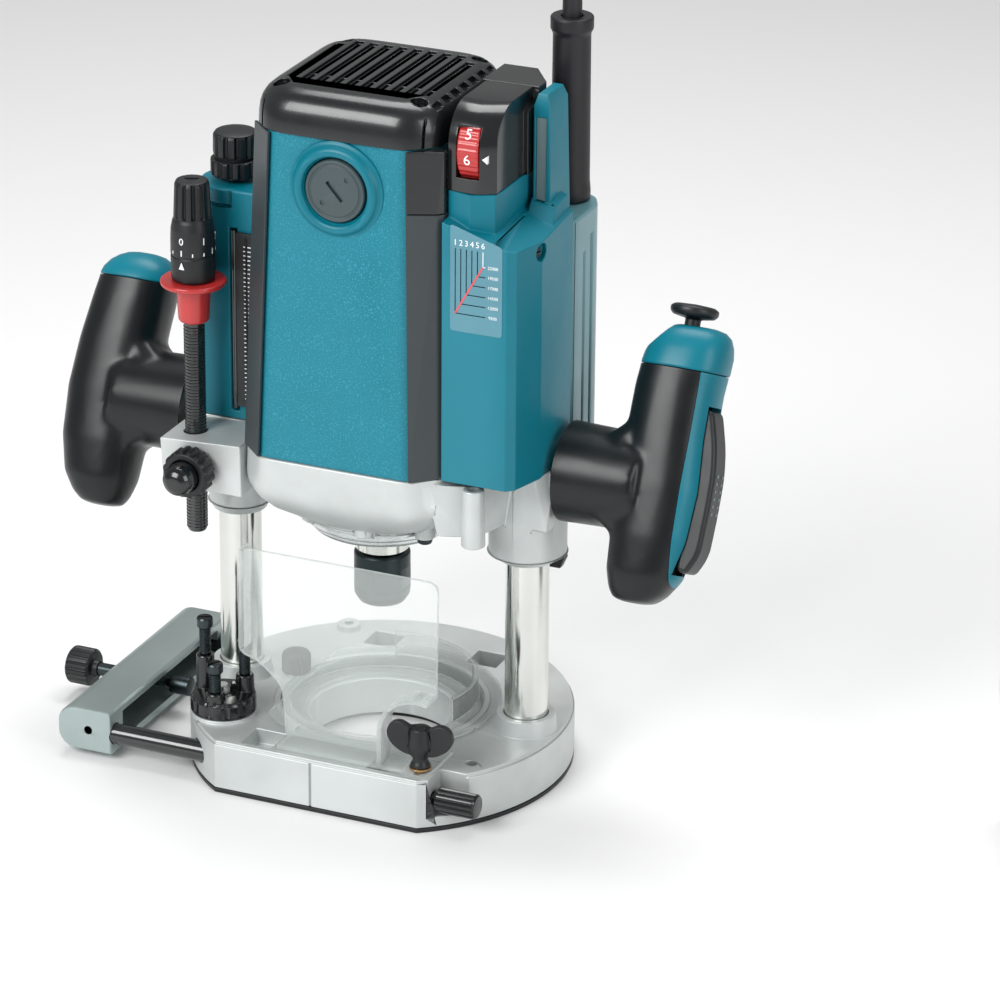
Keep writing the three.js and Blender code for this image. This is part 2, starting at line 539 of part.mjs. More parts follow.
function controlParts() {
  const room = caseBody([HOUSING_BOTTOM - 5, HOUSING_TOP], GAP);
  const slab = prism(outline([[46.6, -42], [76, -42], [79.5, -39], [84, -23], [84, 9.7], [46.6, 9.7]]),
    [HOUSING_BOTTOM, 270]);
  // The top falls from the dial down to the label face, and from left to right
  const above = hull([[30, -60, 272], [95, -60, 253], [30, -34, 281], [95, -34, 262], [30, 30, 281],
    [95, 30, 262], [30, -60, 330], [95, -60, 330], [30, 30, 330], [95, 30, 330]]);
  const neck = box([46.6, 68], [-36, 9.7], [255, 281]);
  const columnTube = upright(COLUMN_X, 0, [HOUSING_BOTTOM, 250], 13.4);
  const columnRoom = upright(COLUMN_X, 0, [HOUSING_BOTTOM - 5, 240.5], 11);
  // Left, right, front, rear and height of the post's three levels
  const postLevels = [[70.6, 79, -3, 19, 250], [70.6, 78, -2.5, 17, 311], [72, 76.5, -1, 15, 316]];
  const post = hull(postLevels.flatMap(([left, right, front, rear, z]) =>
    [[left, front, z], [right, front, z], [left, rear, z], [right, rear, z]]));
  const inside = join(
    box([49.5, 76], [-38, 6.5], [HOUSING_BOTTOM - 5, 250]),
    box([70, 80.5], [-22, 6.5], [HOUSING_BOTTOM - 5, 246]),
  );
  const springSeat = upright(COLUMN_X, 0, [240.5, 255], 8.5, 16);
  const postBelow = box([60, 90], [9.6, 40], [200, 258]);
  const walls = cut(join(cut(slab, above), neck, cut(post, postBelow)), room, inside);
  const control = join(cut(join(walls, columnTube), columnRoom), springSeat);

  const rearOutline = outline([[46.6, 10], [84, 10], [84.5, 14], [84.5, 36], [80, 45], [70, 48],
    [46.6, 48]]);
  const rearSlab = cut(
    prism(rearOutline, [HOUSING_BOTTOM, 257.5]),
    room,
    box([49.5, 81], [13, 44.5], [HOUSING_BOTTOM - 5, 252]),
    upright(COLUMN_X, 0, [HOUSING_BOTTOM - 5, 251], 13.8),
    upright(GUARD_X, GUARD_Y, [200, 300], 6.4),
  );

  const onDialAxis = ([x0, x1], radius, sides) =>
    barrel([x0, DIAL_Y, DIAL_Z], [x1, DIAL_Y, DIAL_Z], radius, sides);
  const arch = [[-36.5, 281.3], [-36.5, 300]];
  for (let i = 1; i <= 6; i++) {
    const angle = (i / 6) * (Math.PI / 2);
    arch.push([-19.5 - 17 * Math.cos(angle), 300 + 17 * Math.sin(angle)]);
  }
  arch.push([10, 317], [10, 281.3]);
  const dialBody = cut(
    join(sidePrism(arch, [46.6, 67.5]), hull([
      [44.5, 4, 299], [70.2, 4, 299], [70.2, 12, 299], [60, 27, 299], [44.5, 27, 299],
      [44.5, 4, 317], [70.2, 4, 317], [70.2, 12, 317], [60, 27, 317], [44.5, 27, 317],
    ])),
    onDialAxis([50.6, 61], DIAL_RADIUS + 0.5, 28),
    box([50.6, 61], [-40, -20], [288, 310]), // the window
    onDialAxis([48.2, 63.4], 3.4, 14),
    caseBody([270, HOUSING_TOP], GAP + 0.4),
    coverClearance(),
  );
  const wheel = join(
    onDialAxis([51, 60.6], DIAL_RADIUS, 28),
    onDialAxis([48.6, 63], 3, 14),
  );
  return {
    fixed: [
      piece("control_housing", control, TEAL),
      piece("rear_housing", rearSlab, TEAL_GREY),
      piece("dial_housing", dialBody, GLOSS_BLACK),
    ],
    dial: piece("speed_dial", wheel, RED),
  };
}

function coverClearance() {
  return skin([caseRing(HOUSING_TOP - 1, 1.9), caseRing(COVER_TOP + 20, 1.9)]);
}

function guardParts() {
  const guard = cut(
    turned([[0, 250], [6, 250], [6, 257.9], [8.8, 257.9], [8.8, 264], [8.2, 334], [9.2, 335],
      [9.2, 339], [0, 339]]),
    turned([[0, 240], [CORD_RADIUS + 0.4, 240], [CORD_RADIUS + 0.4, 345], [0, 345]], SMALL_ROUND),
  );
  return place(piece("cord_guard", guard, RUBBER), [GUARD_X, GUARD_Y, 0]);
}

function motorInternals() {
  const stator = cut(
    turned([[0, 192], [37, 192], [37, 258], [0, 258]], 20),
    upright(0, 0, [180, 270], 26, 20),
  );
  const race = (z0, z1, inner, outer) =>
    turned([[inner, z0], [outer, z0], [outer, z1], [inner, z1], [inner, z0]]);
  return [
    piece("stator", stator, IRON),
    piece("upper_bearing", race(292, 302, 5.3, 14), STEEL),
    piece("lower_bearing", race(119, 132, 9.3, 18), STEEL),
  ];
}

function spindleParts() {
  const shaft = turned([[0, 97.3], [10.5, 97.3], [11.8, 98.5], [11.8, 113], [9, 115], [9, 158], [14, 158],
    [14, 166], [9, 166], [9, 194], [25, 196], [25, 254], [12, 258], [12, 268], [14, 268], [14, 287],
    [8, 288], [5, 290], [5, 301], [0, 301]]);
  const armature = cut(shaft, upright(0, 0, [90, 114], SHANK_RADIUS));
  const blades = [];
  for (let i = 0; i < 8; i++) {
    const blade = box([17, 34], [-0.9, 0.9], [160.5, 172]);
    blades.push(blade.rotate([0, 0, i * 45]));
  }
  const disc = turned([[14.4, 158.5], [35, 158.5], [35, 161], [18, 161], [18, 165.5], [14.4, 165.5],
    [14.4, 158.5]], 20);
  const fan = join(disc, ...blades);
  const nut = cut(
    turned([[0, 73.4], [10.4, 73.4], [12.4, 76.5], [12.4, 97], [0, 97]], 12),
    upright(0, 0, [60, 100], SHANK_RADIUS),
  );
  return [
    piece("armature", armature, STEEL),
    piece("cooling_fan", fan, MATT_BLACK),
    piece("collet_nut", nut, DARK_STEEL),
  ];
}

// Depth pole and its clamp

function poleParts() {
  const rod = turned([[0, 105], [4, 105], [POLE_RADIUS, 106], [POLE_RADIUS, 219.6], [3, 219.6], [3, 256],
    [0, 256]], SMALL_ROUND);
  const pointer = cut(
    turned([[0, 202.5], [6, 202.5], [6.9, 204], [7.6, 218], [14.3, 219.3], [14.3, 221.5], [0, 221.5]], 20),
    upright(0, 0, [195, 230], POLE_RADIUS + GAP, SMALL_ROUND),
  );
  const sleeve = [[0, 222], [9.4, 222], [9.6, 226], [9.6, 240.5], [9.4, 246], [8.2, 249.5], [8, 251],
    [7.2, 265], [6.6, 266.5], [0, 266.5]];
  const knob = cut(
    fluted(sleeve, 10, 8, 0.9, [250, 270]),
    upright(0, 0, [210, 257], 3.3, 14),
  );
  const at = [POLE_X, POLE_Y, 0];
  return {
    pole: place(piece("depth_pole", rod, MATT_BLACK), at),
    pointer: place(piece("depth_pointer", pointer, RED), at),
    knob: place(piece("depth_pole_knob", knob, MATT_BLACK), at),
  };
}

function clampParts() {
  const facing = [Math.PI / 2, 0, 0];
  const nut = cut(
    fluted([[0, 0], [9, 0], [10.8, 1.5], [10.8, 9], [9.6, 10.6], [0, 10.6]], 12, 10.8, 1.1, [-1, 12]),
    turned([[0, -2], [3.3, -2], [3.3, 2], [7.4, 2], [7.4, 20], [0, 20]]),
  );
  const button = turned([[0, -4], [3, -4], [3, 6.5], [7, 6.5], [7, 16], [6.3, 18.4], [4.2, 20.2], [0, 21]]);
  return {
    nut: place(piece("clamp_nut", nut, MATT_BLACK), [CLAMP_X, -44.6, CLAMP_Z], facing),
    button: place(piece("fast_feed_button", button, MATT_BLACK), [CLAMP_X, -44.6, CLAMP_Z], facing),
  };
}

// Grips: modelled upright about the point where the neck meets the grip, then leaned back

function ovalRing(x, z, wide, deep, sides = ROUND) {
  const ring = [];
  for (let i = 0; i < sides; i++) {
    const angle = (i * 2 * Math.PI) / sides;
    ring.push([x + wide * Math.cos(angle), deep * Math.sin(angle), z]);
  }
  return ring;
}

// stations: [height, centre, half width, half depth]
function gripBody(side, stations) {
  return skin(stations.map(([z, x, wide, deep]) => ovalRing(side * x, z, wide, deep)));
}

const GRIP_STATIONS = [
  [-50, 127, 7, 8], [-46, 128, 12, 12], [-38, 129.5, 16, 15], [-22, 131, 19, 17], [0, 131.5, 19.5, 17.5],
  [22, 130.5, 19, 17.5], [42, 128.4, 18, 17], [50, 127.6, 17.4, 16.4],
];
const CAP_STATIONS = [[50.3, 127.6, 17.4, 16.4], [56, 127, 15.5, 14.5], [60, 126.4, 12, 11.5],
  [62.5, 126, 7, 7]];
const RIGHT_GRIP_STATIONS = [...GRIP_STATIONS.slice(0, -2), [42, 130.6, 18.6, 17.2], [50, 131.4, 18.6, 17]];
const RIGHT_CAP_STATIONS = [[50.3, 131.4, 18.6, 17], [58, 132.4, 18.2, 16.2], [65, 134, 15, 13],
  [69, 134.5, 10.6, 9.5]];

function gripParts() {
  const lean = new THREE.Group();
  lean.position.set(0, 0, GRIP_Z);
  lean.rotation.x = -GRIP_LEAN;

  const neck = (side) => cut(
    barrel([side * 88, 0, 0], [side * 124, 0, 0], 22, 24, 20.5),
    barrel([side * 70, 0, 0], [side * 100, 0, 0], 15.4),
  );
  const left = join(gripBody(-1, GRIP_STATIONS), neck(-1));
  const triggerRoom = box([141, 160], [-8.4, 8.4], [-36, 36.4]);
  const right = cut(join(gripBody(1, RIGHT_GRIP_STATIONS), neck(1)), triggerRoom);

  const leftCap = gripBody(-1, CAP_STATIONS);
  const well = upright(131, 0, [56, 80], 6.2);
  const rightCap = cut(gripBody(1, RIGHT_CAP_STATIONS), well);

  const triggerCorners = [[145, 7.6, -34], [150, 6, -35], [154.5, 4.5, -26], [153.5, 7.6, -24],
    [155.4, 4.5, 8], [153.6, 7.6, 10], [147.5, 7.6, 35.6], [149.5, 6, 34], [145, 7.6, 35.6]];
  const trigger = hull(triggerCorners.flatMap(([x, y, z]) => [[x, -y, z], [x, y, z]]));
  const button = turned([[0, 60.5], [5.6, 60.5], [5.6, 74], [9, 75], [10.5, 77], [10, 79.2], [5, 80.6],
    [0, 81]]);

  lean.add(
    piece("left_grip", left, MATT_BLACK),
    piece("left_grip_cap", leftCap, TEAL),
    piece("right_grip", right, MATT_BLACK),
    piece("right_grip_cap", rightCap, TEAL),
    piece("switch_trigger", trigger, MATT_BLACK),
    place(piece("lock_off_button", button, MATT_BLACK), [131, 0, 0]),
  );
  return lean;
}

function lockParts() {
  const pin = join(
    turned([[0, 0], [3.3, 0], [3.3, 18], [0, 18]], 14),
    turned([[0, 17.5], [3.3, 17.5], [3.3, 20.8], [6.5, 20.8], [6.5, 26], [5.5, 27.2], [0, 27.2]], 18),
  );
  const shaftLock = place(piece("shaft_lock_button", pin, MATT_BLACK), [0, 32.5, 130], [-Math.PI / 2, 0, 0]);

  // Half width, distance from the pivot, underside and top; at full plunge its tip stays above the base
  const blade = [[5, 0, 12.5, 18], [5.5, 23, 14, 19], [3.5, 28, 14.5, 18.5]];
  const pivot = join(
    turned([[0, 0], [3, 0], [3, 12], [0, 12]], 14),
    turned([[0, 11.5], [8, 11.5], [8, 18], [6.5, 19.5], [0, 19.5]], 20),
    hull(blade.flatMap(([half, reach, low, high]) =>
      [[-half, reach, low], [half, reach, low], [-half, reach, high], [half, reach, high]])),
  );
  const lever = place(piece("lock_lever", pivot, MATT_BLACK), [COLUMN_X, 13.4, 117], [-Math.PI / 2, 0, 0]);
  return [shaftLock, lever];
}

// Mains cord: up out of the guard, over and down on the right, then into a coil with its plug beside it

const CORD_LAYERS = 2;
const COIL_RADII = [39.9, 48.3, 56.7]; // the middles of the turns, a cord apart
const COIL_OUTSIDE = COIL_RADII[2] + CORD_RADIUS;
const COIL_INSIDE = COIL_RADII[0] - CORD_RADIUS;
const COIL_X = 356;
const COIL_Y = 26;
const CORD_ROUTE = [
  [GUARD_X, GUARD_Y, 252], [GUARD_X, GUARD_Y, 280], [GUARD_X, GUARD_Y, 310], [GUARD_X, GUARD_Y, 345],
  [71.3, 37, 373], [74.5, 37.3, 399], [84, 37.7, 424], [101, 38.4, 444], [124, 39.4, 458], [152, 40.6, 464],
  [181, 42, 463], [209, 43.2, 454], [233, 44.2, 436], [252, 45, 410], [264.5, 45.4, 377], [270.5, 45.7, 340],
  [272.5, 45.9, 300], [273, 46, 260], [273, 46, 210], [273, 46, 160], [273, 46, 120], [273, 46, 85],
  [273.4, 46.3, 57], [277, 49, 35], [286, 56, 18.5], [299, 65.5, 8], [315, 74.5, 4.6], [335, 80.6, 4.4],
  [COIL_X, COIL_Y + COIL_RADII[2], 4.3],
];

function coilRing(slack) {
  const inside = COIL_INSIDE - slack;
  const outside = COIL_OUTSIDE + slack;
  const top = CORD_LAYERS * 2 * CORD_RADIUS + slack;
  const profile = [[inside, -slack], [outside, -slack], [outside, top], [inside, top], [inside, -slack]];
  return turned(profile, 32).translate([COIL_X, COIL_Y, 0]);
}

function cordParts() {
  const points = CORD_ROUTE.map((point) => new THREE.Vector3(...point));
  const route = new THREE.CatmullRomCurve3(points, false, "centripetal");
  const section = new THREE.Shape().absarc(0, 0, CORD_RADIUS, 0, 2 * Math.PI, false);
  const settings = { steps: 46, curveSegments: 4, bevelEnabled: false, extrudePath: route };
  const tube = cut(solid(new THREE.ExtrudeGeometry(section, settings)), coilRing(GAP));

  // The plug lies on the floor where the last turn ends: its sleeve, its body and its two pins, along -Y
  const sleeve = barrel([0, -8, 12.6], [0, -48, 12.6], CORD_RADIUS, SMALL_ROUND, 6.5);
  // Half width at the underside, half width at the top, distance along -Y, underside and top
  const plugLevels = [[13, 9, 47, 3, 22], [17.5, 14, 60, 0.2, 25], [17.5, 14, 82, 0.2, 25]];
  const body = hull(plugLevels.flatMap(([below, above, reach, low, high]) =>
    [[-below, -reach, low], [below, -reach, low], [-above, -reach, high], [above, -reach, high]]));
  const pin = (side) => barrel([side * 9.5, -81, 12.6], [side * 9.5, -100, 12.6], 2.4, SMALL_ROUND);
  const plug = join(sleeve, body, pin(-1), pin(1)).translate([COIL_X + COIL_RADII[2], COIL_Y, 0]);
  return [
    piece("cord", tube, RUBBER),
    piece("cord_coil", coilRing(0), RUBBER),
    piece("plug", cut(plug, coilRing(GAP)), RUBBER),
  ];
}

// Assembly

const tower = towerParts();
const control = controlParts();
const pole = poleParts();
const clamp = clampParts();

const router = new THREE.Group();
router.add(
  ...baseParts(),
  ...columnParts(-1, "left"),
  ...columnParts(1, "right"),
  limitRod(),
  ...deflectorParts(),
  rodClampScrew(),
  ...turretParts(),
  ...guideParts(),
  ...bracketParts(),
  ...housingParts(),
  coverPart(),
  ...tower.fixed,
  tower.nut,
  ...control.fixed,
  control.dial,
  guardParts(),
  ...motorInternals(),
  ...spindleParts(),
  pole.pole,
  pole.pointer,
  pole.knob,
  clamp.nut,
  clamp.button,
  gripParts(),
  ...lockParts(),
  ...cordParts(),
);
router.position.y = -(BASE_RADIUS + BASE_FRONT) / 2;

export default router;
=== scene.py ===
"""Looks for the plunge router: every visible surface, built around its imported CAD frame."""

import math

import bmesh
import bpy
from mathutils import Matrix, Vector


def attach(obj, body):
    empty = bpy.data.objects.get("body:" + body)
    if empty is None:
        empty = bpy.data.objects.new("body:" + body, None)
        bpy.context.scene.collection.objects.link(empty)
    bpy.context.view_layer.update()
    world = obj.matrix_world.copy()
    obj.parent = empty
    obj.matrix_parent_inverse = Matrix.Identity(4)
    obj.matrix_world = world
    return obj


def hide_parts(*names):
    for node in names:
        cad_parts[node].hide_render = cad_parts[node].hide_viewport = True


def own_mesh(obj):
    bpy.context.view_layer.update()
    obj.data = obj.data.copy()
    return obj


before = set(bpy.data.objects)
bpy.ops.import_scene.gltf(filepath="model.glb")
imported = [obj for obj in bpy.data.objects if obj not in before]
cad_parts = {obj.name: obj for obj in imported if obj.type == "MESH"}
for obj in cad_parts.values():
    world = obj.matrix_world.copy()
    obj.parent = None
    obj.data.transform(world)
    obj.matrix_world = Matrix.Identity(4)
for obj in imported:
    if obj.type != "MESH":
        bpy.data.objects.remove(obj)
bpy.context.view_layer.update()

# Lengths are millimetres from the spindle axis on the floor, as the CAD is drawn: +X along the grips
# towards the trigger, -Y the front.
MM = 0.001
SPINDLE_Y = -0.0075  # metres; the spindle axis stands this far in front of the frame's origin
GAP = 0.3  # between neighbouring shells
ROUND = 64  # sides of a round piece
COLUMN_X = 69
COLUMN_RADIUS = 9.5
HOUSING_BOTTOM = 153
HOUSING_TOP = 298
BASE_RADIUS = 85
BASE_FRONT = -70
BASE_TOP = 24.5
HOLE_RADIUS = 32
TRAY_RADIUS = 45
ROD_Z = 12
POLE = (-74.5, -31)
TURRET = (-58, -41)
CLAMP = (-68.5, -44.6, 140)
GRIP_Z = 149
GRIP_LEAN = math.radians(25)
GUARD = (71, 37)
BRUSH_Z = 277
TOWER_TOP = 258
DIAL = (-21.2, 298)  # the speed dial's axis in Y and Z
CORD_RADIUS = 4.2


def at(x, y, z):
    """A point of the drawing in the frame's metres."""
    return Vector((x * MM, y * MM + SPINDLE_Y, z * MM))


# Camera


def add_camera():
    azimuth = math.radians(24.6)
    elevation = math.radians(22.4)
    distance = 2.1602
    back = Vector((
        math.sin(azimuth) * math.cos(elevation),
        -math.cos(azimuth) * math.cos(elevation),
        math.sin(elevation),
    ))
    right = Vector((math.cos(azimuth), math.sin(azimuth), 0))
    up = back.cross(right)
    turn = Matrix((right, up, back)).transposed().to_4x4()
    data = bpy.data.cameras.new("camera")
    data.lens = 180
    data.sensor_width = 36
    data.shift_x = 0.1
    data.shift_y = -0.06
    data.clip_end = 20
    camera = bpy.data.objects.new("camera", data)
    camera.matrix_world = Matrix.Translation(at(8.5, 0, 149.4) + back * distance) @ turn
    bpy.context.scene.collection.objects.link(camera)
    bpy.context.scene.camera = camera


add_camera()

# Materials


def new_material(name):
    material = bpy.data.materials.new(name)
    material.use_nodes = True
    return material, material.node_tree, material.node_tree.nodes["Principled BSDF"]


def noise(tree, scale, detail=3.0, roughness=0.5, stretch=None):
    """A noise texture in object space, in metres; stretch squeezes it along an axis."""
    nodes, links = tree.nodes, tree.links
    coordinates = nodes.new("ShaderNodeTexCoord")
    texture = nodes.new("ShaderNodeTexNoise")
    texture.inputs["Scale"].default_value = scale
    texture.inputs["Detail"].default_value = detail
    texture.inputs["Roughness"].default_value = roughness
    source = coordinates.outputs["Object"]
    if stretch:
        mapping = nodes.new("ShaderNodeMapping")
        mapping.inputs["Scale"].default_value = stretch
        links.new(source, mapping.inputs["Vector"])
        source = mapping.outputs["Vector"]
    links.new(source, texture.inputs["Vector"])
    return texture.outputs["Fac"]


def ramp(tree, source, stops):
    node = tree.nodes.new("ShaderNodeValToRGB")
    elements = node.color_ramp.elements
    while len(elements) < len(stops):
        elements.new(0.5)
    for element, (place, colour) in zip(elements, stops):
        element.position = place
        element.color = (*colour, 1)
    tree.links.new(source, node.inputs["Fac"])
    return node.outputs["Color"]


def spread(tree, source, low, high, start=0.0, end=1.0):
    node = tree.nodes.new("ShaderNodeMapRange")
    node.inputs["From Min"].default_value = start
    node.inputs["From Max"].default_value = end
    node.inputs["To Min"].default_value = low
    node.inputs["To Max"].default_value = high
    tree.links.new(source, node.inputs["Value"])
    return node.outputs["Result"]


def bump(tree, shader, source, strength, distance):
    node = tree.nodes.new("ShaderNodeBump")
    node.inputs["Strength"].default_value = strength
    node.inputs["Distance"].default_value = distance
    tree.links.new(source, node.inputs["Height"])
    tree.links.new(node.outputs["Normal"], shader.inputs["Normal"])


def linear(colour):
    """An sRGB colour in 0 to 255 as linear light."""
    return tuple(((c / 255 + 0.055) / 1.055) ** 2.4 if c > 10 else c / 255 / 12.92 for c in colour)


def worn_edges(tree, base, edge_colour, amount):
    """Mixes a paler colour in along sharp edges, where hands and chips rub."""
    nodes, links = tree.nodes, tree.links
    geometry = nodes.new("ShaderNodeNewGeometry")
    edges = spread(tree, geometry.outputs["Pointiness"], 0.0, amount, 0.52, 0.60)
    mix = nodes.new("ShaderNodeMix")
    mix.data_type = "RGBA"
    mix.inputs["B"].default_value = (*edge_colour, 1)
    links.new(edges, mix.inputs["Factor"])
    links.new(base, mix.inputs["A"])
    return mix.outputs["Result"]


def plastic(name, colour, roughness, grain=0.0, coat=0.0, mottling=0.06, speckle=0.0, shine=0.5):
    """Moulded plastic: slight colour drift, uneven gloss and, where grain is given, a fine texture."""
    material, tree, shader = new_material(name)
    rgb = linear(colour)
    drift = noise(tree, 38)
    darker = tuple(c * (1 - mottling) for c in rgb)
    lighter = tuple(min(1, c * (1 + mottling)) for c in rgb)
    base = ramp(tree, drift, [(0.3, darker), (0.7, lighter)])
    if speckle:
        flecks = spread(tree, noise(tree, 1500, 1, 0.3), 0.0, speckle, 0.56, 0.72)
        mix = tree.nodes.new("ShaderNodeMix")
        mix.data_type = "RGBA"
        mix.inputs["B"].default_value = (*[min(1, c * 1.9 + 0.06) for c in rgb], 1)
        tree.links.new(flecks, mix.inputs["Factor"])
        tree.links.new(base, mix.inputs["A"])
        base = mix.outputs["Result"]
    paler = tuple(min(1, c * 1.25 + 0.02) for c in rgb)
    tree.links.new(worn_edges(tree, base, paler, 0.5), shader.inputs["Base Color"])
    tree.links.new(
        spread(tree, noise(tree, 120), roughness - 0.05, roughness + 0.06), shader.inputs["Roughness"]
    )
    shader.inputs["Specular IOR Level"].default_value = shine
    shader.inputs["Coat Weight"].default_value = coat
    shader.inputs["Coat Roughness"].default_value = 0.08
    if grain:
        bump(tree, shader, noise(tree, 2600, 2), grain, 0.0002)
    else:
        bump(tree, shader, noise(tree, 260, 2), 0.02, 0.0002)
    return material


def metal(name, colour, roughness, grain=0.1, grain_scale=900, stretch=None, shine=1.0):
    """Metal with a fine surface: cast grain, or brushed lines where stretch squeezes the noise."""
    material, tree, shader = new_material(name)
    rgb = linear(colour)
    fine = noise(tree, grain_scale, 4, 0.6, stretch)
    base = ramp(tree, noise(tree, 55), [(0.3, tuple(c * 0.9 for c in rgb)), (0.7, rgb)])
    paler = tuple(min(1, c * 1.15 + 0.03) for c in rgb)
    tree.links.new(worn_edges(tree, base, paler, 0.6), shader.inputs["Base Color"])
    tree.links.new(spread(tree, fine, roughness - 0.07, roughness + 0.09), shader.inputs["Roughness"])
    shader.inputs["Metallic"].default_value = shine
    bump(tree, shader, fine, grain, 0.00015)
    return material


def clear_plastic():
    """Clear sheet as a thin veil: most light passes straight through, with fine scuffs."""
    material, tree, shader = new_material("clear_plastic")
    shader.inputs["Base Color"].default_value = (0.80, 0.86, 0.84, 1)
    tree.links.new(spread(tree, noise(tree, 60), 0.05, 0.14), shader.inputs["Roughness"])
    tree.links.new(spread(tree, noise(tree, 22), 0.16, 0.26), shader.inputs["Alpha"])
    return material


def frosted_edge():
    """The sawn edge of clear sheet, which looks whitish."""
    material, tree, shader = new_material("clear_edge")
    tree.links.new(
        ramp(tree, noise(tree, 400), [(0.3, (0.62, 0.67, 0.66)), (0.7, (0.80, 0.84, 0.83))]),
        shader.inputs["Base Color"]
    )
    shader.inputs["Roughness"].default_value = 0.4
    shader.inputs["Alpha"].default_value = 0.6
    return material


TEAL = plastic("teal", (0, 112, 130), 0.36, shine=0.35)
TEAL_CASE = plastic("teal_case", (0, 114, 132), 0.44, grain=0.18, speckle=0.6, shine=0.35)
# A lighter, greyer copy of the teal: painted light, the rear housing's rim-lit brightness put into its
# colour.
TEAL_PAINTED_LIGHT = plastic("teal_painted_light", (96, 142, 150), 0.32, coat=0.3)
GLOSS_BLACK = plastic("gloss_black", (15, 18, 20), 0.2, coat=0.35)
COVER_BLACK = plastic("cover_black", (18, 22, 24), 0.26, coat=0.3)
MATT_BLACK = plastic("matt_black", (19, 22, 24), 0.42, grain=0.25)
GRIP_BLACK = plastic("grip_black", (14, 18, 20), 0.32, grain=0.12, shine=0.4)
RUBBER = plastic("rubber", (24, 22, 27), 0.45, grain=0.2)
STRIP_GREY = plastic("strip_grey", (46, 54, 57), 0.38, grain=0.1)
CAP_GREY = plastic("cap_grey", (62, 76, 79), 0.45, grain=0.2)
PANEL_GREY = plastic("panel_grey", (104, 122, 124), 0.4, grain=0.1)
RED = plastic("red", (184, 44, 44), 0.3, coat=0.3)
WHITE_INK = plastic("white_ink", (232, 236, 236), 0.5)
RED_INK = plastic("red_ink", (210, 78, 84), 0.5)
LABEL_BLUE = plastic("label_blue", (78, 134, 150), 0.35, coat=0.3)
# Painted shade: near-black for the shaded space seen through the cover's vents.
PAINTED_VENT_SHADE = plastic("painted_vent_shade", (14, 17, 18), 0.6, grain=0.1)
CLEAR = clear_plastic()
CLEAR_EDGE = frosted_edge()
CAST = metal("cast_alloy", (205, 210, 209), 0.45, grain=0.22, grain_scale=1500, shine=0.45)
MACHINED = metal(
    "machined_alloy", (214, 219, 219), 0.25, grain=0.05, grain_scale=1200, stretch=(1, 1, 12), shine=0.9
)
BAR_ALLOY = metal(
    "bar_alloy", (168, 182, 180), 0.36, grain=0.12, grain_scale=700, stretch=(6, 0.5, 6), shine=0.7
)
STEEL = metal("bright_steel", (214, 216, 211), 0.14, grain=0.03, grain_scale=600, stretch=(1, 1, 8))
DARK_STEEL = metal("dark_steel", (58, 66, 68), 0.32, grain=0.12)
BLACK_ROD = plastic("black_rod", (20, 26, 26), 0.14, coat=0.7)
BRASS = metal("brass", (176, 140, 92), 0.3, grain=0.1)
BRONZE = metal("bronze", (178, 148, 92), 0.35, grain=0.15)
IRON = metal("iron", (124, 116, 108), 0.5, grain=0.3, stretch=(1, 1, 30))

SIDES = ((-1, "left"), (1, "right"))

# Solids, in millimetres


def solid(points, faces):
    mesh = bpy.data.meshes.new("solid")
    mesh.from_pydata([tuple(p) for p in points], [], faces)
    bm = bmesh.new()
    bm.from_mesh(mesh)
    bmesh.ops.remove_doubles(bm, verts=bm.verts, dist=1e-4)
    bmesh.ops.recalc_face_normals(bm, faces=bm.faces)
    bm.to_mesh(mesh)
    bm.free()
    return mesh


def skin(rings, closed_ends=True):
    """A surface over rings that have the same number of points; a ring may be a single point."""
    points = []
    starts = []
    for ring in rings:
        starts.append(len(points))
        points += ring
    faces = []
    for (a, ring), (b, after) in zip(zip(starts, rings), list(zip(starts, rings))[1:]):
        sides = max(len(ring), len(after))
        for i in range(sides):
            j = (i + 1) % sides
            if len(ring) == 1:
                faces.append((a, b + i, b + j))
            elif len(after) == 1:
                faces.append((a + i, b, a + j))
            else:
                faces.append((a + i, b + i, b + j, a + j))
    if closed_ends and len(rings[0]) > 1:
        faces.append(tuple(range(len(rings[0]))))
    if closed_ends and len(rings[-1]) > 1:
        faces.append(tuple(range(starts[-1], starts[-1] + len(rings[-1]))))
    return solid(points, faces)


def box(x, y, z):
    (x0, x1), (y0, y1), (z0, z1) = x, y, z
    return skin([[(x0, y0, h), (x1, y0, h), (x1, y1, h), (x0, y1, h)] for h in (z0, z1)])


def rounded(points, radius, steps=3, closed=False):
    """The same outline with its corners rounded by short curves."""
    points = [Vector(p) for p in points]
    count = len(points)
    result = []
    for i, corner in enumerate(points):
        if not closed and i in (0, count - 1):
            result.append(corner)
            continue
        before = points[i - 1] - corner
        after = points[(i + 1) % count] - corner
        reach = min(radius, before.length * 0.48, after.length * 0.48)
        start = corner + before.normalized() * reach
        end = corner + after.normalized() * reach
        for step in range(steps + 1):
            t = step / steps
            result.append(start * (1 - t) ** 2 + corner * 2 * t * (1 - t) + end * t ** 2)
    return [tuple(p) for p in result]


def turned(profile, sides=ROUND, edge=0.0, ribs=None):
    """A piece turned about Z from (radius, height) points, bottom first; ribs carves grooves in its rim.

    ribs holds the number of grooves, their depth, and the radius and heights that they stay within."""
    closed = profile[0] == profile[-1]
    outline = profile[:-1] if closed else profile
    if edge:
        outline = rounded(outline, edge, 3, closed)
    rings = []
    for radius, height in outline:
        if radius < 1e-6:
            rings.append([(0, 0, height)])
            continue
        ring = []
        for i in range(sides):
            angle = 2 * math.pi * i / sides
            reach = radius
            if ribs:
                count, depth, inside, (low, high) = ribs
                if radius > inside and low <= height <= high:
                    reach -= depth * max(0, math.cos(angle * count)) ** 0.6
            ring.append((reach * math.cos(angle), reach * math.sin(angle), height))
        rings.append(ring)
    if closed:
        rings.append(rings[0])
    return skin(rings, closed_ends=not closed)


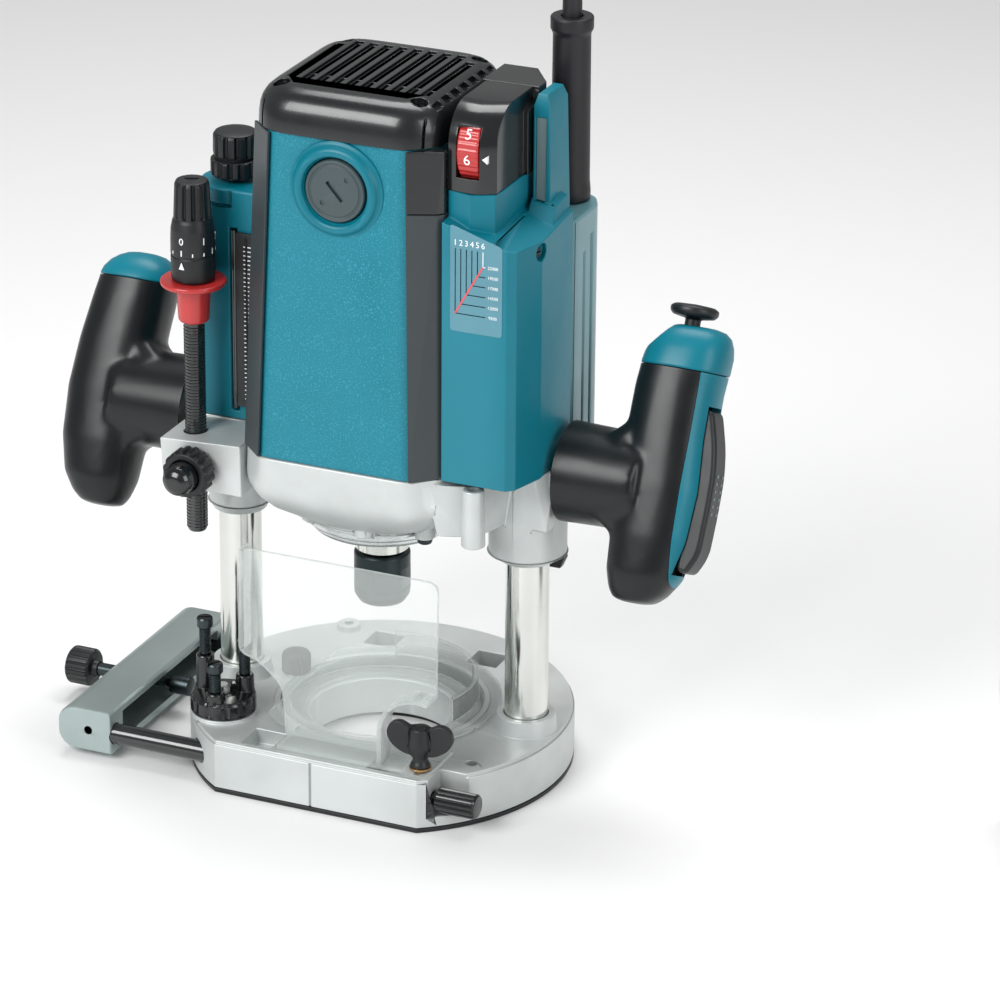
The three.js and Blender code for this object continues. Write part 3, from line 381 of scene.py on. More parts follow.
def threaded(radius, low, high, pitch, depth=0.35):
    """A screw thread drawn as close grooves about Z."""
    profile = [(0, low), (radius - depth, low)]
    turns = int((high - low) / pitch)
    for i in range(turns):
        start = low + i * pitch
        profile += [
            (radius - depth, start + 0.1 * pitch), (radius, start + 0.4 * pitch),
            (radius, start + 0.6 * pitch), (radius - depth, start + 0.9 * pitch)
        ]
    return turned([*profile, (radius - depth, high), (0, high)], 32)


def moved(mesh, place=(0, 0, 0), turn=(0, 0, 0)):
    """Turns a mesh by degrees about X, Y and Z in that order, then shifts it."""
    turns = [Matrix.Rotation(math.radians(degrees), 4, axis) for degrees, axis in zip(turn, "XYZ")]
    mesh.transform(Matrix.Translation(place) @ turns[2] @ turns[1] @ turns[0])
    return mesh


def barrel(start, end, radius, end_radius=None, sides=ROUND):
    start, end = Vector(start), Vector(end)
    along = end - start
    end_radius = radius if end_radius is None else end_radius
    mesh = turned([(0, 0), (radius, 0), (end_radius, along.length), (0, along.length)], sides)
    mesh.transform(Matrix.Translation(start) @ along.to_track_quat("Z", "Y").to_matrix().to_4x4())
    return mesh


def upright(x, y, heights, radius, top=None, sides=ROUND):
    return barrel((x, y, heights[0]), (x, y, heights[1]), radius, top, sides)


def prism(outline, heights):
    """An outline in X and Y pushed up in Z."""
    return skin([[(x, y, z) for x, y in outline] for z in heights])


def hull(points):
    bm = bmesh.new()
    for point in points:
        bm.verts.new(point)
    made = bmesh.ops.convex_hull(bm, input=bm.verts)
    bmesh.ops.delete(bm, geom=[g for g in made["geom_interior"] if isinstance(g, bmesh.types.BMVert)])
    bmesh.ops.dissolve_limit(bm, angle_limit=math.radians(0.5), verts=bm.verts, edges=bm.edges)
    mesh = bpy.data.meshes.new("hull")
    bm.to_mesh(mesh)
    bm.free()
    return mesh


def combined(operation, first, others):
    host = bpy.data.objects.new("host", first)
    bpy.context.scene.collection.objects.link(host)
    tools = []
    for mesh in others:
        tool = bpy.data.objects.new("tool", mesh)
        bpy.context.scene.collection.objects.link(tool)
        tools.append(tool)
        modifier = host.modifiers.new("combine", "BOOLEAN")
        modifier.operation = operation
        modifier.solver = "MANIFOLD"
        modifier.object = tool
    result = bpy.data.meshes.new_from_object(host.evaluated_get(bpy.context.evaluated_depsgraph_get()))
    for obj in [host, *tools]:
        bpy.data.objects.remove(obj)
    return result


def join(first, *others):
    return combined("UNION", first, others)


def cut(first, *others):
    return combined("DIFFERENCE", first, others)


def together(*meshes):
    """Several closed shells in one mesh, for details that stand on each other."""
    bm = bmesh.new()
    for mesh in meshes:
        bm.from_mesh(mesh)
    result = bpy.data.meshes.new("together")
    bm.to_mesh(result)
    bm.free()
    return result


def piece(name, mesh, look, body, replaced=(), edge=0.0, sharp=30, merge=True):
    """Puts a mesh into the scene as a named piece; edge rounds its sharp edges, merge joins flat faces.

    Its one material slot holds the look."""
    bm = bmesh.new()
    bm.from_mesh(mesh)
    bmesh.ops.remove_doubles(bm, verts=bm.verts, dist=0.01)
    if merge:
        bmesh.ops.dissolve_limit(bm, angle_limit=math.radians(0.6), verts=bm.verts, edges=bm.edges)
    clean = bpy.data.meshes.new(name)
    bm.to_mesh(clean)
    bm.free()
    clean.transform(Matrix.Translation((0, SPINDLE_Y, 0)) @ Matrix.Scale(MM, 4))
    clean.shade_smooth()
    clean.set_sharp_from_angle(angle=math.radians(sharp))
    clean.materials.append(look)
    result = bpy.data.objects.new(name, clean)
    bpy.context.scene.collection.objects.link(result)
    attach(result, body)
    if replaced:
        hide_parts(*([replaced] if isinstance(replaced, str) else replaced))
    if edge:
        modifier = result.modifiers.new("edge", "BEVEL")
        modifier.width = edge * MM
        modifier.segments = 3
        modifier.limit_method = "ANGLE"
        modifier.angle_limit = math.radians(sharp)
        modifier.harden_normals = True
        modifier.use_clamp_overlap = False
    return result


def lettering(name, text, size, place, body, turn=None, depth=0.15):
    """Plain white digits slightly proud of a surface; turn is their rotation, to the front by default."""
    curve = bpy.data.curves.new(name, "FONT")
    curve.body = text
    curve.size = size
    curve.extrude = depth / 2
    curve.align_x = "CENTER"
    curve.align_y = "CENTER"
    curve.resolution_u = 3
    holder = bpy.data.objects.new(name + "_text", curve)
    bpy.context.scene.collection.objects.link(holder)
    mesh = bpy.data.meshes.new_from_object(holder.evaluated_get(bpy.context.evaluated_depsgraph_get()))
    bpy.data.objects.remove(holder)
    facing = turn or Matrix.Rotation(math.radians(90), 4, "X")
    mesh.transform(Matrix.Translation(place) @ facing)
    return piece(name, mesh, WHITE_INK, body)


# Cord and plug: the route repeats the CAD's, then the coil's turns are wound by a loop

COIL = (356, 26)
COIL_TURNS = 5.25
COIL_STEPS = 24  # points in a turn
LOW_LAYER = CORD_RADIUS + 0.1
HIGH_LAYER = 3 * CORD_RADIUS
# The coil's way, out to in on the floor, then up a layer and in to out: turn, radius, height
COIL_WAY = [
    (0, 56.7, LOW_LAYER), (0.75, 56.7, LOW_LAYER), (1, 48.3, LOW_LAYER), (1.75, 48.3, LOW_LAYER),
    (2, 39.9, LOW_LAYER), (2.5, 39.9, LOW_LAYER), (2.75, 39.9, HIGH_LAYER), (3.25, 39.9, HIGH_LAYER),
    (3.5, 48.3, HIGH_LAYER), (4.25, 48.3, HIGH_LAYER), (4.5, 56.7, HIGH_LAYER),
    (COIL_TURNS, 56.7, HIGH_LAYER)
]
CORD_ROUTE = [
    (71, 37, 252), (71, 37, 280), (71, 37, 310), (71, 37, 345), (71.3, 37, 373), (74.5, 37.3, 399),
    (84, 37.7, 424), (101, 38.4, 444), (124, 39.4, 458), (152, 40.6, 464), (181, 42, 463), (209, 43.2, 454),
    (233, 44.2, 436), (252, 45, 410), (264.5, 45.4, 377), (270.5, 45.7, 340), (272.5, 45.9, 300),
    (273, 46, 260), (273, 46, 210), (273, 46, 160), (273, 46, 120), (273, 46, 85), (273.4, 46.3, 57),
    (277, 49, 35), (286, 56, 18.5), (299, 65.5, 8), (315, 74.5, 4.6), (335, 80.6, 4.4)
]
PLUG = (COIL[0] + 56.7, COIL[1], HIGH_LAYER)


def coil_points():
    points = []
    for i in range(int(COIL_TURNS * COIL_STEPS) + 1):
        turn = i / COIL_STEPS
        for (start, radius, height), (end, next_radius, next_height) in zip(COIL_WAY, COIL_WAY[1:]):
            if start <= turn <= end:
                ease = (1 - math.cos(math.pi * (turn - start) / (end - start))) / 2
                reach = radius + (next_radius - radius) * ease
                level = height + (next_height - height) * ease
        angle = math.pi / 2 - turn * 2 * math.pi
        points.append((COIL[0] + reach * math.cos(angle), COIL[1] + reach * math.sin(angle), level))
    return points


def smooth_path(points, per_span=6):
    """A centripetal Catmull-Rom curve through the points."""
    points = [Vector(p) for p in points]
    points = [2 * points[0] - points[1], *points, 2 * points[-1] - points[-2]]
    path = []
    for i in range(1, len(points) - 2):
        p0, p1, p2, p3 = points[i - 1:i + 3]
        t1 = (p1 - p0).length ** 0.5
        t2 = t1 + (p2 - p1).length ** 0.5
        t3 = t2 + (p3 - p2).length ** 0.5
        for step in range(per_span):
            t = t1 + (t2 - t1) * step / per_span
            a1 = p0 + (p1 - p0) * (t / t1)
            a2 = p1 + (p2 - p1) * ((t - t1) / (t2 - t1))
            a3 = p2 + (p3 - p2) * ((t - t2) / (t3 - t2))
            b1 = a1 + (a2 - a1) * (t / t2)
            b2 = a2 + (a3 - a2) * ((t - t1) / (t3 - t1))
            path.append(b1 + (b2 - b1) * ((t - t1) / (t2 - t1)))
    path.append(points[-2])
    return path


def add_plug():
    sleeve = turned([(0, 8), (4.7, 8), (5.2, 14), (6.5, 48), (0, 48)], 48)
    ribs = []
    for i in range(6):
        ribs.append(
            moved(
                turned(
                    [(3, -0.8), (5.6 + 0.28 * i, -0.8), (5.6 + 0.28 * i, 0.8), (3, 0.8), (3, -0.8)], 48, 0.3
                ),
                (0, 0, 14 + 5 * i)
            )
        )
    body = skin([
        [(x, y, reach) for x, y in rounded([(-w, -h), (w, -h), (w, h), (-w, h)], 5, 4, closed=True)]
        for w, h, reach in (
            (9, 8.5, 46.5), (14, 11, 50), (17, 12.2, 56), (17.5, 12.4, 70), (17, 12.2, 80), (16, 11.2, 82)
        )
    ])
    grips = [box((side * 17.8 - 0.9, side * 17.8 + 0.9), (-9, 9), (56 + 4 * i, 57.6 + 4 * i))
             for side in (-1, 1) for i in range(5)]
    shell = cut(join(body, sleeve, *ribs), *grips)
    piece("plug_shell", moved(shell, PLUG, (90, 0, 0)), RUBBER, "base", "plug", edge=0.3)
    for side, name in SIDES:
        pin = turned([(0, 80), (2.4, 80), (2.4, 98.6), (1.6, 100), (0, 100)], 32)
        piece(f"plug_pin_{name}", moved(moved(pin, (side * 9.5, 0, 0)), PLUG, (90, 0, 0)), STEEL, "base")


def add_cord():
    tail = [(PLUG[0], PLUG[1] - reach, PLUG[2]) for reach in (6, 14, 24, 34)]
    path = [at(*p) for p in smooth_path(CORD_ROUTE + coil_points() + tail)]
    curve = bpy.data.curves.new("cord_look", "CURVE")
    curve.dimensions = "3D"
    curve.bevel_depth = CORD_RADIUS * MM
    curve.bevel_resolution = 4
    curve.use_fill_caps = True
    spline = curve.splines.new("POLY")
    spline.points.add(len(path) - 1)
    for point, place in zip(spline.points, path):
        point.co = (*place, 1)
    spline.use_smooth = True
    cord = bpy.data.objects.new("cord_look", curve)
    bpy.context.scene.collection.objects.link(cord)
    curve.materials.append(RUBBER)
    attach(cord, "base")
    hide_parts("cord", "cord_coil")


add_plug()
add_cord()

# Base


def base_outline(radius, front):
    start = math.asin(front / radius)
    sweep = math.pi - 2 * start
    steps = 96
    angles = [start + sweep * i / steps for i in range(steps + 1)]
    return [(radius * math.cos(a), radius * math.sin(a)) for a in angles]


def base_plate(heights, inset=0.0):
    return prism(base_outline(BASE_RADIUS - inset, BASE_FRONT + inset), heights)


def add_base():
    bottom = 2.3
    casting = join(
        base_plate((bottom, BASE_TOP - 1.5)), base_plate((BASE_TOP - 1.6, BASE_TOP), 0.9),
        upright(-COLUMN_X, 0, (BASE_TOP - 1, 32), 14.2, 12.8),
        upright(COLUMN_X, 0, (BASE_TOP - 1, 32), 14.2, 12.8), upright(*TURRET, (BASE_TOP - 1, 26), 14.6),
        upright(*TURRET, (25, 36), 3), upright(*TURRET, (35.5, 38), 2.2),
        upright(-45, 61, (BASE_TOP - 1, 27.5), 5.2),
        turned(
            [
                (TRAY_RADIUS, BASE_TOP - 1), (TRAY_RADIUS + 3.2, BASE_TOP - 1),
                (TRAY_RADIUS + 2.6, BASE_TOP + 0.7), (TRAY_RADIUS, BASE_TOP + 0.7),
                (TRAY_RADIUS, BASE_TOP - 1)
            ],
            96
        )
    )
    openings = [
        upright(0, 0, (0, 40), HOLE_RADIUS, sides=96),
        upright(0, 0, (19, 40), TRAY_RADIUS, sides=96),
        upright(-45, 61, (18, 40), 2),
        upright(62, -43, (14, 40), 2.6),
        box((52, 90), (-90, -54), (7, 40)),
        barrel((44, -61, 13.5), (60, -61, 13.5), 3.2),
        upright(46, -61, (16, 40), 2.4),
        box((-2.7, -1.9), (-75, -69.4), (0, 23.5)),
        box((40, 41), (70, 90), (18, 40)),
    ]
    for side in (-1, 1):
        far, near = side * 25.5, side * 30
        openings.append(upright(side * COLUMN_X, 0, (8, 40), COLUMN_RADIUS + GAP))
        openings.append(box((far - 7.2, far + 7.2), (50, 64.4), (6, 40)))
        openings.append(box((near - 7.2, near + 7.2), (-66, -50.5), (17.5, 40)))
    for y in (-58, 47):
        openings.append(barrel((-90, y, ROD_Z), (46, y, ROD_Z), 5))
    piece("base_shell", cut(casting, *openings), CAST, "base", "base_casting", edge=0.5)

    sole = cut(base_plate((0, 2)), upright(0, 0, (-5, 5), HOLE_RADIUS + 2, sides=96))
    piece("sole", sole, MATT_BLACK, "base", "sole_plate", edge=0.4)


def add_columns():
    for side, name in SIDES:
        tube = turned(
            [
                (7, 14), (9.1, 8.3), (COLUMN_RADIUS, 8.9), (COLUMN_RADIUS, 171.3), (9, 172), (7, 172),
                (7, 14)
            ],
            96
        )
        piece(name + "_column_tube", moved(tube, (side * COLUMN_X, 0, 0)), STEEL, "base", name + "_column")
        add_spring(side * COLUMN_X, name)


def add_spring(x, name):
    """A return spring from the column's foot up to its seat in the tower."""
    low, high, reach, wire, turns, steps = 14.9, 239.2, 5.5, 0.8, 15, 20
    rings = []
    for i in range(turns * steps + 1):
        angle = 2 * math.pi * i / steps
        height = low + wire + (high - low - 2 * wire) * i / (turns * steps)
        ring = []
        for k in range(8):
            around = 2 * math.pi * k / 8
            out = reach + wire * math.cos(around)
            ring.append((
                x + out * math.cos(angle), out * math.sin(angle), height + wire * math.sin(around)
            ))
        rings.append(ring)
    spring = piece(name + "_spring", skin(rings), STEEL, "base", name + "_return_spring")
    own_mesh(spring)


def add_limit_rod():
    rod = turned([(0, 14.3), (3.6, 14.3), (3.6, 275), (2.8, 276), (0, 276)])
    piece("limit_rod", moved(rod, (-COLUMN_X, 0, 0)), DARK_STEEL, "base", "height_limit_rod")


def is_sawn_edge(face):
    """The deflector's narrow faces: round the panel's outline and up the ring's walls."""
    sideways = abs(face.normal.y) < 0.6
    on_panel = face.center.y < -50 * MM and sideways
    on_ring = face.center.y > -50 * MM and face.center.z < 40 * MM and abs(face.normal.z) < 0.5
    upright_or_top = sideways and abs(face.normal.z) < 0.995 or face.center.z > 100 * MM
    return upright_or_top and (on_panel or on_ring)


def add_deflector():
    ring = turned(
        [
            (34, 19.4), (TRAY_RADIUS - 0.6, 19.4), (TRAY_RADIUS - 0.6, 25), (53, 25), (53, 27), (42.5, 27),
            (42.5, 38), (40.8, 38), (40.8, 21.2), (34, 21.2), (34, 19.4)
        ],
        96, edge=0.4
    )
    ring = cut(
        ring,
        box((-70, -12), (-70, 70), (26, 60)),
        box((-70, 90), (-70, -14), (26, 60)),
        box((-90, -39), (-90, 90), (24.6, 60)),
        box((-90, 90), (-90, -47), (24.6, 60)),
    )
    shelf = cut(box((-20, 52), (-66, -40), (BASE_TOP + GAP, 26.8)), upright(0, 0, (0, 60), 42))
    outline = rounded(
        [(-43, 62), (-34, 60), (-22, 50), (-20, 25.5), (51, 25.5), (51, 111), (-43, 111)], 5, 5, closed=True
    )
    panel = skin([[(x, back + 2 * (z - 46) / 65, z) for x, z in outline] for back in (-56.5, -54.5)])
    flange = box((-43, -41.2), (-54.6, -46.5), (63, 110))
    flap = join(box((29.5, 62.5), (-70, -52), (27, 42)), barrel((46, -70, 42), (46, -52, 42), 16.5))
    hood = cut(
        join(box((27.5, 51), (-66, -55), (26.4, 43)), barrel((46, -66, 42), (46, -55, 42), 18.5)),
        flap,
        box((51, 80), (-80, -40), (20, 80)),
    )
    body = cut(join(panel, flange, shelf, ring), upright(46, -61, (20, 60), 2.6), flap)
    deflector = piece(
        "clear_deflector", join(body, hood), CLEAR, "base", "chip_deflector", edge=0.3,
    )
    deflector.data.materials.append(CLEAR_EDGE)
    for face in deflector.data.polygons:
        if is_sawn_edge(face):
            face.material_index = 1

    thumb = turned(
        [(0, 27.3), (6.4, 27.3), (6.6, 28), (6.6, 35), (5.6, 36.5), (2, 37), (0, 37)], 96, 0.4,
        (16, 0.5, 6, (28, 36))
    )
    pin = upright(0, 0, (24, 27.4), 2.4)
    piece(
        "deflector_thumbscrew", moved(join(thumb, pin), (-47, 10, -2.5)), MATT_BLACK,
        "deflector_thumbscrew", "deflector_screw"
    )


def add_wing_screw():
    hub = turned(
        [(0, 27.2), (4.4, 27.2), (4.4, 29), (3.2, 31), (3.6, 33), (5.4, 37), (4.4, 46), (0, 47)], edge=0.8,
    )
    outline = rounded(
        [
            (-7, 33), (-13, 37), (-15.4, 42), (-13.5, 47), (-9, 48.6), (0, 44), (9, 48.6), (13.5, 47),
            (15.4, 42), (13, 37), (7, 33)
        ],
        3, 4, closed=True
    )
    wings = skin([[(x, y, z) for x, z in outline] for y in (-1.7, 1.7)])
    turn = (0, 0, math.degrees(0.1))
    piece("wing_head", moved(join(wings, hub), (46, -61, 0), turn), MATT_BLACK, "wing", "wing_screw",
          edge=0.7)
    stud = threaded(2.1, 17, 27, 0.9)
    washer = turned([(2.2, 27.0), (4.8, 27.0), (4.8, 27.9), (2.2, 27.9), (2.2, 27.0)], edge=0.2)
    piece("wing_stud", moved(join(stud, washer), (46, -61, 0)), BRASS, "wing")


def add_rod_clamp():
    screw = join(
        turned([(0, 0), (2.8, 0), (2.8, 9), (0, 9)]),
        turned([(0, 8.5), (5.2, 8.5), (5.6, 9), (5.6, 26), (4.8, 27), (2, 27.2), (0, 27.2)], 96, 0.3,
               (12, 0.6, 5, (9, 26.5))),
    )
    piece(
        "rod_clamp_knob", moved(screw, (46, -61, 13.5), (0, 90, 0)), GLOSS_BLACK, "rod_clamp",
        "rod_clamp_screw"
    )


# Stop turret


def turret_posts():
    """Each post's offset from the turret's axis, the top of its sleeve and the top of its screw."""
    posts = []
    for degrees, sleeve, top in ((170, 50, 67.5), (275, 38, 52), (35, 42, 58)):
        angle = math.radians(degrees)
        posts.append((9.6 * math.cos(angle), 9.6 * math.sin(angle), sleeve, top))
    return posts


def add_turret():
    disc = turned(
        [
            (3.7, 26.4), (14.3, 26.4), (14.6, 27.2), (14.6, 32.5), (13.6, 34), (8, 34.6), (3.7, 34.6),
            (3.7, 26.4)
        ],
        96, 0.4, (12, 0.7, 14, (27, 33))
    )
    solids = [disc]
    bores = [upright(0, 0, (20, 60), 3.7)]
    for x, y, sleeve, _ in turret_posts():
        solids.append(
            moved(
                turned([(0, 33), (4.6, 33), (4.2, 35.5), (4, sleeve - 0.6), (3.5, sleeve), (0, sleeve)]),
                (x, y, 0)
            )
        )
        solids.append(
            hull([
                (x * s + w * y * 0.16, y * s - w * x * 0.16, h) for s in (0, 1) for w in (-1, 1)
                for h in (33, 38)
            ])
        )
        bores.append(upright(x, y, (30, 60), 2.3))
    block = moved(cut(join(*solids), *bores), (*TURRET, 0))
    piece("turret_block", block, GLOSS_BLACK, "turret", "stopper_block", edge=0.3)

    for i, (x, y, sleeve, top) in enumerate(turret_posts(), 1):
        head = top - 4.5
        shaft = join(
            upright(0, 0, (30.4, sleeve + 1), 2),
            threaded(2.6, sleeve + GAP, head + 0.2, 1.1),
            turned([(0, head), (3.2, head), (3.6, head + 0.4), (3.6, top - 0.6), (3.2, top), (0, top)], 24),
        )
        screw = cut(shaft, box((-4, 4), (-0.5, 0.5), (top - 1.2, 90)))
        place = (TURRET[0] + x, TURRET[1] + y, 0)
        body = f"stop_screw_{i}"
        piece(
            f"stop_screw_look_{i}", moved(screw, place, (0, 0, 30 * i)), DARK_STEEL, body,
            f"stopper_screw_{i}"
        )


# Side guide


def add_guide():
    for y, name in ((-58, "front"), (47, "rear")):
        rod = turned([(0, 0), (4.7, 0), (4.7, 160.8), (3.5, 162), (0, 162)], 96)
        piece(
            f"rod_{name}", moved(rod, (-124, y, ROD_Z), (0, 90, 0)), BLACK_ROD, "guide",
            f"guide_rod_{name}"
        )

    back, front, low, high = -129, -103, 3.5, 23.5
    outline = [(front, low), (front, high - 1), (front - 1, high)]
    for middle, start in ((high - 8, 90), (low + 8, 180)):
        for i in range(13):
            angle = math.radians(start + 90 * i / 12)
            outline.append((back + 8 + 8 * math.cos(angle), middle + 8 * math.sin(angle)))
    middle_x, middle_z = (back + front) / 2, (low + high) / 2
    ends = ((-63, 0.95), (-62.7, 0.98), (-62, 1), (54, 1), (54.7, 0.98), (55, 0.95))
    body = skin([
        [(middle_x + (x - middle_x) * scale, y, middle_z + (z - middle_z) * scale) for x, z in outline]
        for y, scale in ends
    ])
    bar = cut(
        body,
        box((-125, -100), (-51, 43), (7, 20)),
        barrel((-124.3, -58, ROD_Z), (-90, -58, ROD_Z), 5),
        barrel((-124.3, 47, ROD_Z), (-90, 47, ROD_Z), 5),
        barrel((-140, -4, 13.5), (-100, -4, 13.5), 3.4),
        barrel((-114, -70, 13.5), (-114, -59, 13.5), 2),
    )
    piece("channel_bar", bar, BAR_ALLOY, "guide", "guide_bar", merge=False)

    thread = join(
        turned([(0, 0), (3, 0), (3, 14), (0, 14)]),
        threaded(2.4, 13.5, 41, 1.0),
        turned([(0, 40), (4.4, 41), (4.4, 50), (0, 50)], edge=0.4),
    )
    piece("fine_adjust_thread", moved(thread, (-143, -4, 13.5), (0, 90, 0)), DARK_STEEL, "fine_adjust",
          "fine_adjust_screw")
    knob = cut(
        turned(
            [(0, 0), (7.2, 0), (8.6, 1.2), (8.6, 11), (7.6, 12), (4.2, 12), (3.8, 14.5), (0, 14.5)], 144,
            0.4, (18, 0.7, 8, (0.8, 11.6))
        ),
        turned([(0, 10), (3.3, 10), (3.3, 20), (0, 20)])
    )
    piece("fine_adjust_grip", moved(knob, (-153.5, -4, 13.5), (0, 90, 0)), MATT_BLACK, "fine_adjust",
          "fine_adjust_knob")


# Motor unit


def case_ring(z, offset=0.0, hardness=30, sides=120, round_radius=None, blend=0.0):
    """The motor case's outline at a height, with eased corners, blended towards a circle."""
    rise = (z - HOUSING_BOTTOM) / (HOUSING_TOP - HOUSING_BOTTOM)
    wide = 45.7 + (41.8 - 45.7) * rise + offset
    deep = 49 + (43.5 - 49) * rise + offset
    corner = 11 + offset * 0.59
    ring = []
    for i in range(sides):
        angle = 2 * math.pi * (i + 0.5) / sides
        c, s = math.cos(angle), math.sin(angle)
        planes = (abs(c) / wide, abs(s) / deep, (abs(c) + abs(s)) / (wide + deep - corner))
        reach = sum(p ** hardness for p in planes) ** (-1 / hardness)
        if blend:
            reach += (round_radius - reach) * blend
        ring.append((reach * c, reach * s, z))
    return ring


def case_solid(heights, offset=0.0, hardness=60):
    return skin([case_ring(z, offset, hardness) for z in heights])


def add_bracket():
    bowl = [
        case_ring(z, offset, 40, 120, 33.5, blend)
        for z, offset, blend in (
            (152.7, 1.2, 0), (141, 1.2, 0), (137, 1.0, 0.02), (132, 0.2, 0.10), (127, -1, 0.28),
            (122.5, -2, 0.58), (119.5, -2, 0.86), (117.5, -2, 1)
        )
    ]
    rim = turned([(0, 117.5), (35.6, 117.5), (36.2, 118.1), (36.2, 119.6), (35, 120.6), (0, 121)], 96, 0.4)
    boss_left = join(
        upright(-COLUMN_X, 0, (109, 152.7), 13.6), upright(-COLUMN_X, 0, (105, 109.1), 11.7, 13.6)
    )
    boss_right = join(upright(COLUMN_X, 0, (109, 152.7), 17), upright(COLUMN_X, 0, (105, 109.1), 11.7, 17))
    corners = (
        (-87, 12, 152.7), (87, 12, 152.7), (-82, 13, 127), (84, 15, 125), (-78, 15, 152.7), (78, 17, 152.7)
    )
    arms = hull([(x, y * s, z) for x, y, z in corners for s in (-1, 1)])
    block = hull([(-85.5, -44, 151), (-47, -44, 153), (-85.5, -13, 151), (-47, -13, 153), (-84.5, -43, 129),
                  (-47, -43, 129), (-84.5, -13, 129), (-47, -13, 129)])
    rib = hull([
        (40, -44, 150), (60, -34, 150), (70, -14, 150), (44, -20, 150), (44, -40, 126), (60, -34, 126),
        (66, -14, 126)
    ])
    # Angle, distance from the spindle and lower end of the three ears that hold the bearing plate
    ear_places = ((-128, 34, 117.5), (-78, 34.5, 117.5), (-38, 40, 117.5))
    ears = []
    for angle, reach, low in ear_places:
        x, y = reach * math.cos(math.radians(angle)), reach * math.sin(math.radians(angle))
        ears.append(upright(x, y, (low + 0.1, 131), 4.6, 3.6))
    whole = join(
        skin(bowl), rim, boss_left, boss_right, arms, block, rib, *ears,
        barrel((-97, 0, GRIP_Z), (-84.9, 0, GRIP_Z), 14), barrel((84.9, 0, GRIP_Z), (97, 0, GRIP_Z), 14),
        upright(60, -38, (124, 150), 5.2, 4.6),
        upright(-COLUMN_X, -16.5, (126, 131), 3.4),
    )
    whole = cut(
        whole,
        upright(0, 0, (100, 132.5), 18.3),
        upright(0, 0, (100, 170), 13),
        upright(0, 0, (140, 170), 37.5),
        upright(-COLUMN_X, 0, (100, 160), 11.8),
        upright(COLUMN_X, 0, (100, 160), 11.8),
        upright(*POLE, (100, 160), 5.1),
        barrel((CLAMP[0], -50, CLAMP[2]), (CLAMP[0], -36, CLAMP[2]), 3.4),
        upright(60, -38, (118, 160), 2.4),
        barrel((0, 60, 130), (0, 26, 130), 3.6),
        barrel((COLUMN_X, 24, 117), (COLUMN_X, 12, 117), 3.4),
    )
    piece("bracket_casting", whole, CAST, "motor_unit", "motor_bracket", edge=0.7)

    flange = turned(
        [
            (13.5, 110), (28.6, 110), (30.6, 110.6), (31.5, 111.9), (31.5, 113.4), (33.4, 113.9),
            (34, 114.6), (34, 117.2), (13.5, 117.2), (13.5, 110)
        ],
        120, 0.5
    )
    piece("bearing_plate", flange, MACHINED, "motor_unit", "bearing_flange")
    angle, reach, low = ear_places[-1]
    head = turned([(0, low - 2.6), (2.6, low - 2.6), (3.2, low - 2), (3.4, low), (0, low)], 32, 0.3)
    place = (reach * math.cos(math.radians(angle)), reach * math.sin(math.radians(angle)), 0)
    piece("bracket_screw_2", moved(head, place), DARK_STEEL, "motor_unit")
    for side, name in SIDES:
        sleeve = turned([(9.8, 107.5), (11.5, 107.5), (11.5, 149.5), (9.8, 149.5), (9.8, 107.5)], 64, 0.2)
        piece(
            name + "_bush", moved(sleeve, (side * COLUMN_X, 0, 0)), BRONZE, "motor_unit", name + "_bushing"
        )


def add_case():
    heights = [HOUSING_BOTTOM + (HOUSING_TOP - HOUSING_BOTTOM) * i / 6 for i in range(7)]
    inside = case_solid((HOUSING_BOTTOM - 5, HOUSING_TOP + 5), -3.2)
    holes = [barrel((0, side * 30, BRUSH_Z), (0, side * 60, BRUSH_Z), 14.2) for side in (-1, 1)]
    shell = cut(case_solid(heights), inside, *holes)
    piece("case_shell", shell, TEAL_CASE, "motor_unit", "motor_housing", sharp=40)
    seat = [
        (14.3, 38), (21.4, 38), (21.4, 44.9), (20.3, 45.2), (19.4, 46), (18.7, 47.2), (17.6, 47.9),
        (16.2, 47.9), (15.2, 47.3), (14.9, 46.2), (14.3, 45.6), (14.3, 38)
    ]
    cap = [
        (0, 33.2), (13.7, 33.2), (13.7, 46.2), (13.2, 47), (12.2, 47), (11.9, 46.5), (11.3, 46.5), (11, 47),
        (0, 47)
    ]
    for side, name in ((-1, "front"), (1, "rear")):
        turn = (90, 0, 0) if side < 0 else (-90, 0, 0)
        ring = moved(turned(seat, 96, 0.5), (0, 0, BRUSH_Z), turn)
        piece(f"brush_seat_{name}", ring, TEAL, "motor_unit")
        disc = cut(
            turned(cap, 96, 0.25),
            moved(box((-5.2, 5.2), (-0.9, 0.9), (45.4, 50)), (0, 0, 0), (0, 0, -48)),
            upright(5.6, 5.6, (46.5, 50), 1.1, sides=24),
            upright(-5.6, -5.6, (46.5, 50), 1.1, sides=24),
        )
        piece(f"brush_cap_disc_{name}", moved(disc, (0, 0, BRUSH_Z), turn), CAP_GREY, "motor_unit",
              f"brush_cap_{name}")


def node_mesh(node):
    """A copy of a CAD node's mesh, in the drawing's millimetres."""
    bm = bmesh.new()
    bm.from_mesh(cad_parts[node].data)
    bmesh.ops.remove_doubles(bm, verts=bm.verts, dist=1e-6)
    mesh = bpy.data.meshes.new(node)
    bm.to_mesh(mesh)
    bm.free()
    mesh.transform(Matrix.Scale(1 / MM, 4) @ Matrix.Translation((0, -SPINDLE_Y, 0)))
    return mesh


def carried(node, look, body, edge):
    """A node's own shape with its edges rounded."""
    piece(node + "_look", node_mesh(node), look, body, node, edge=edge, sharp=28)


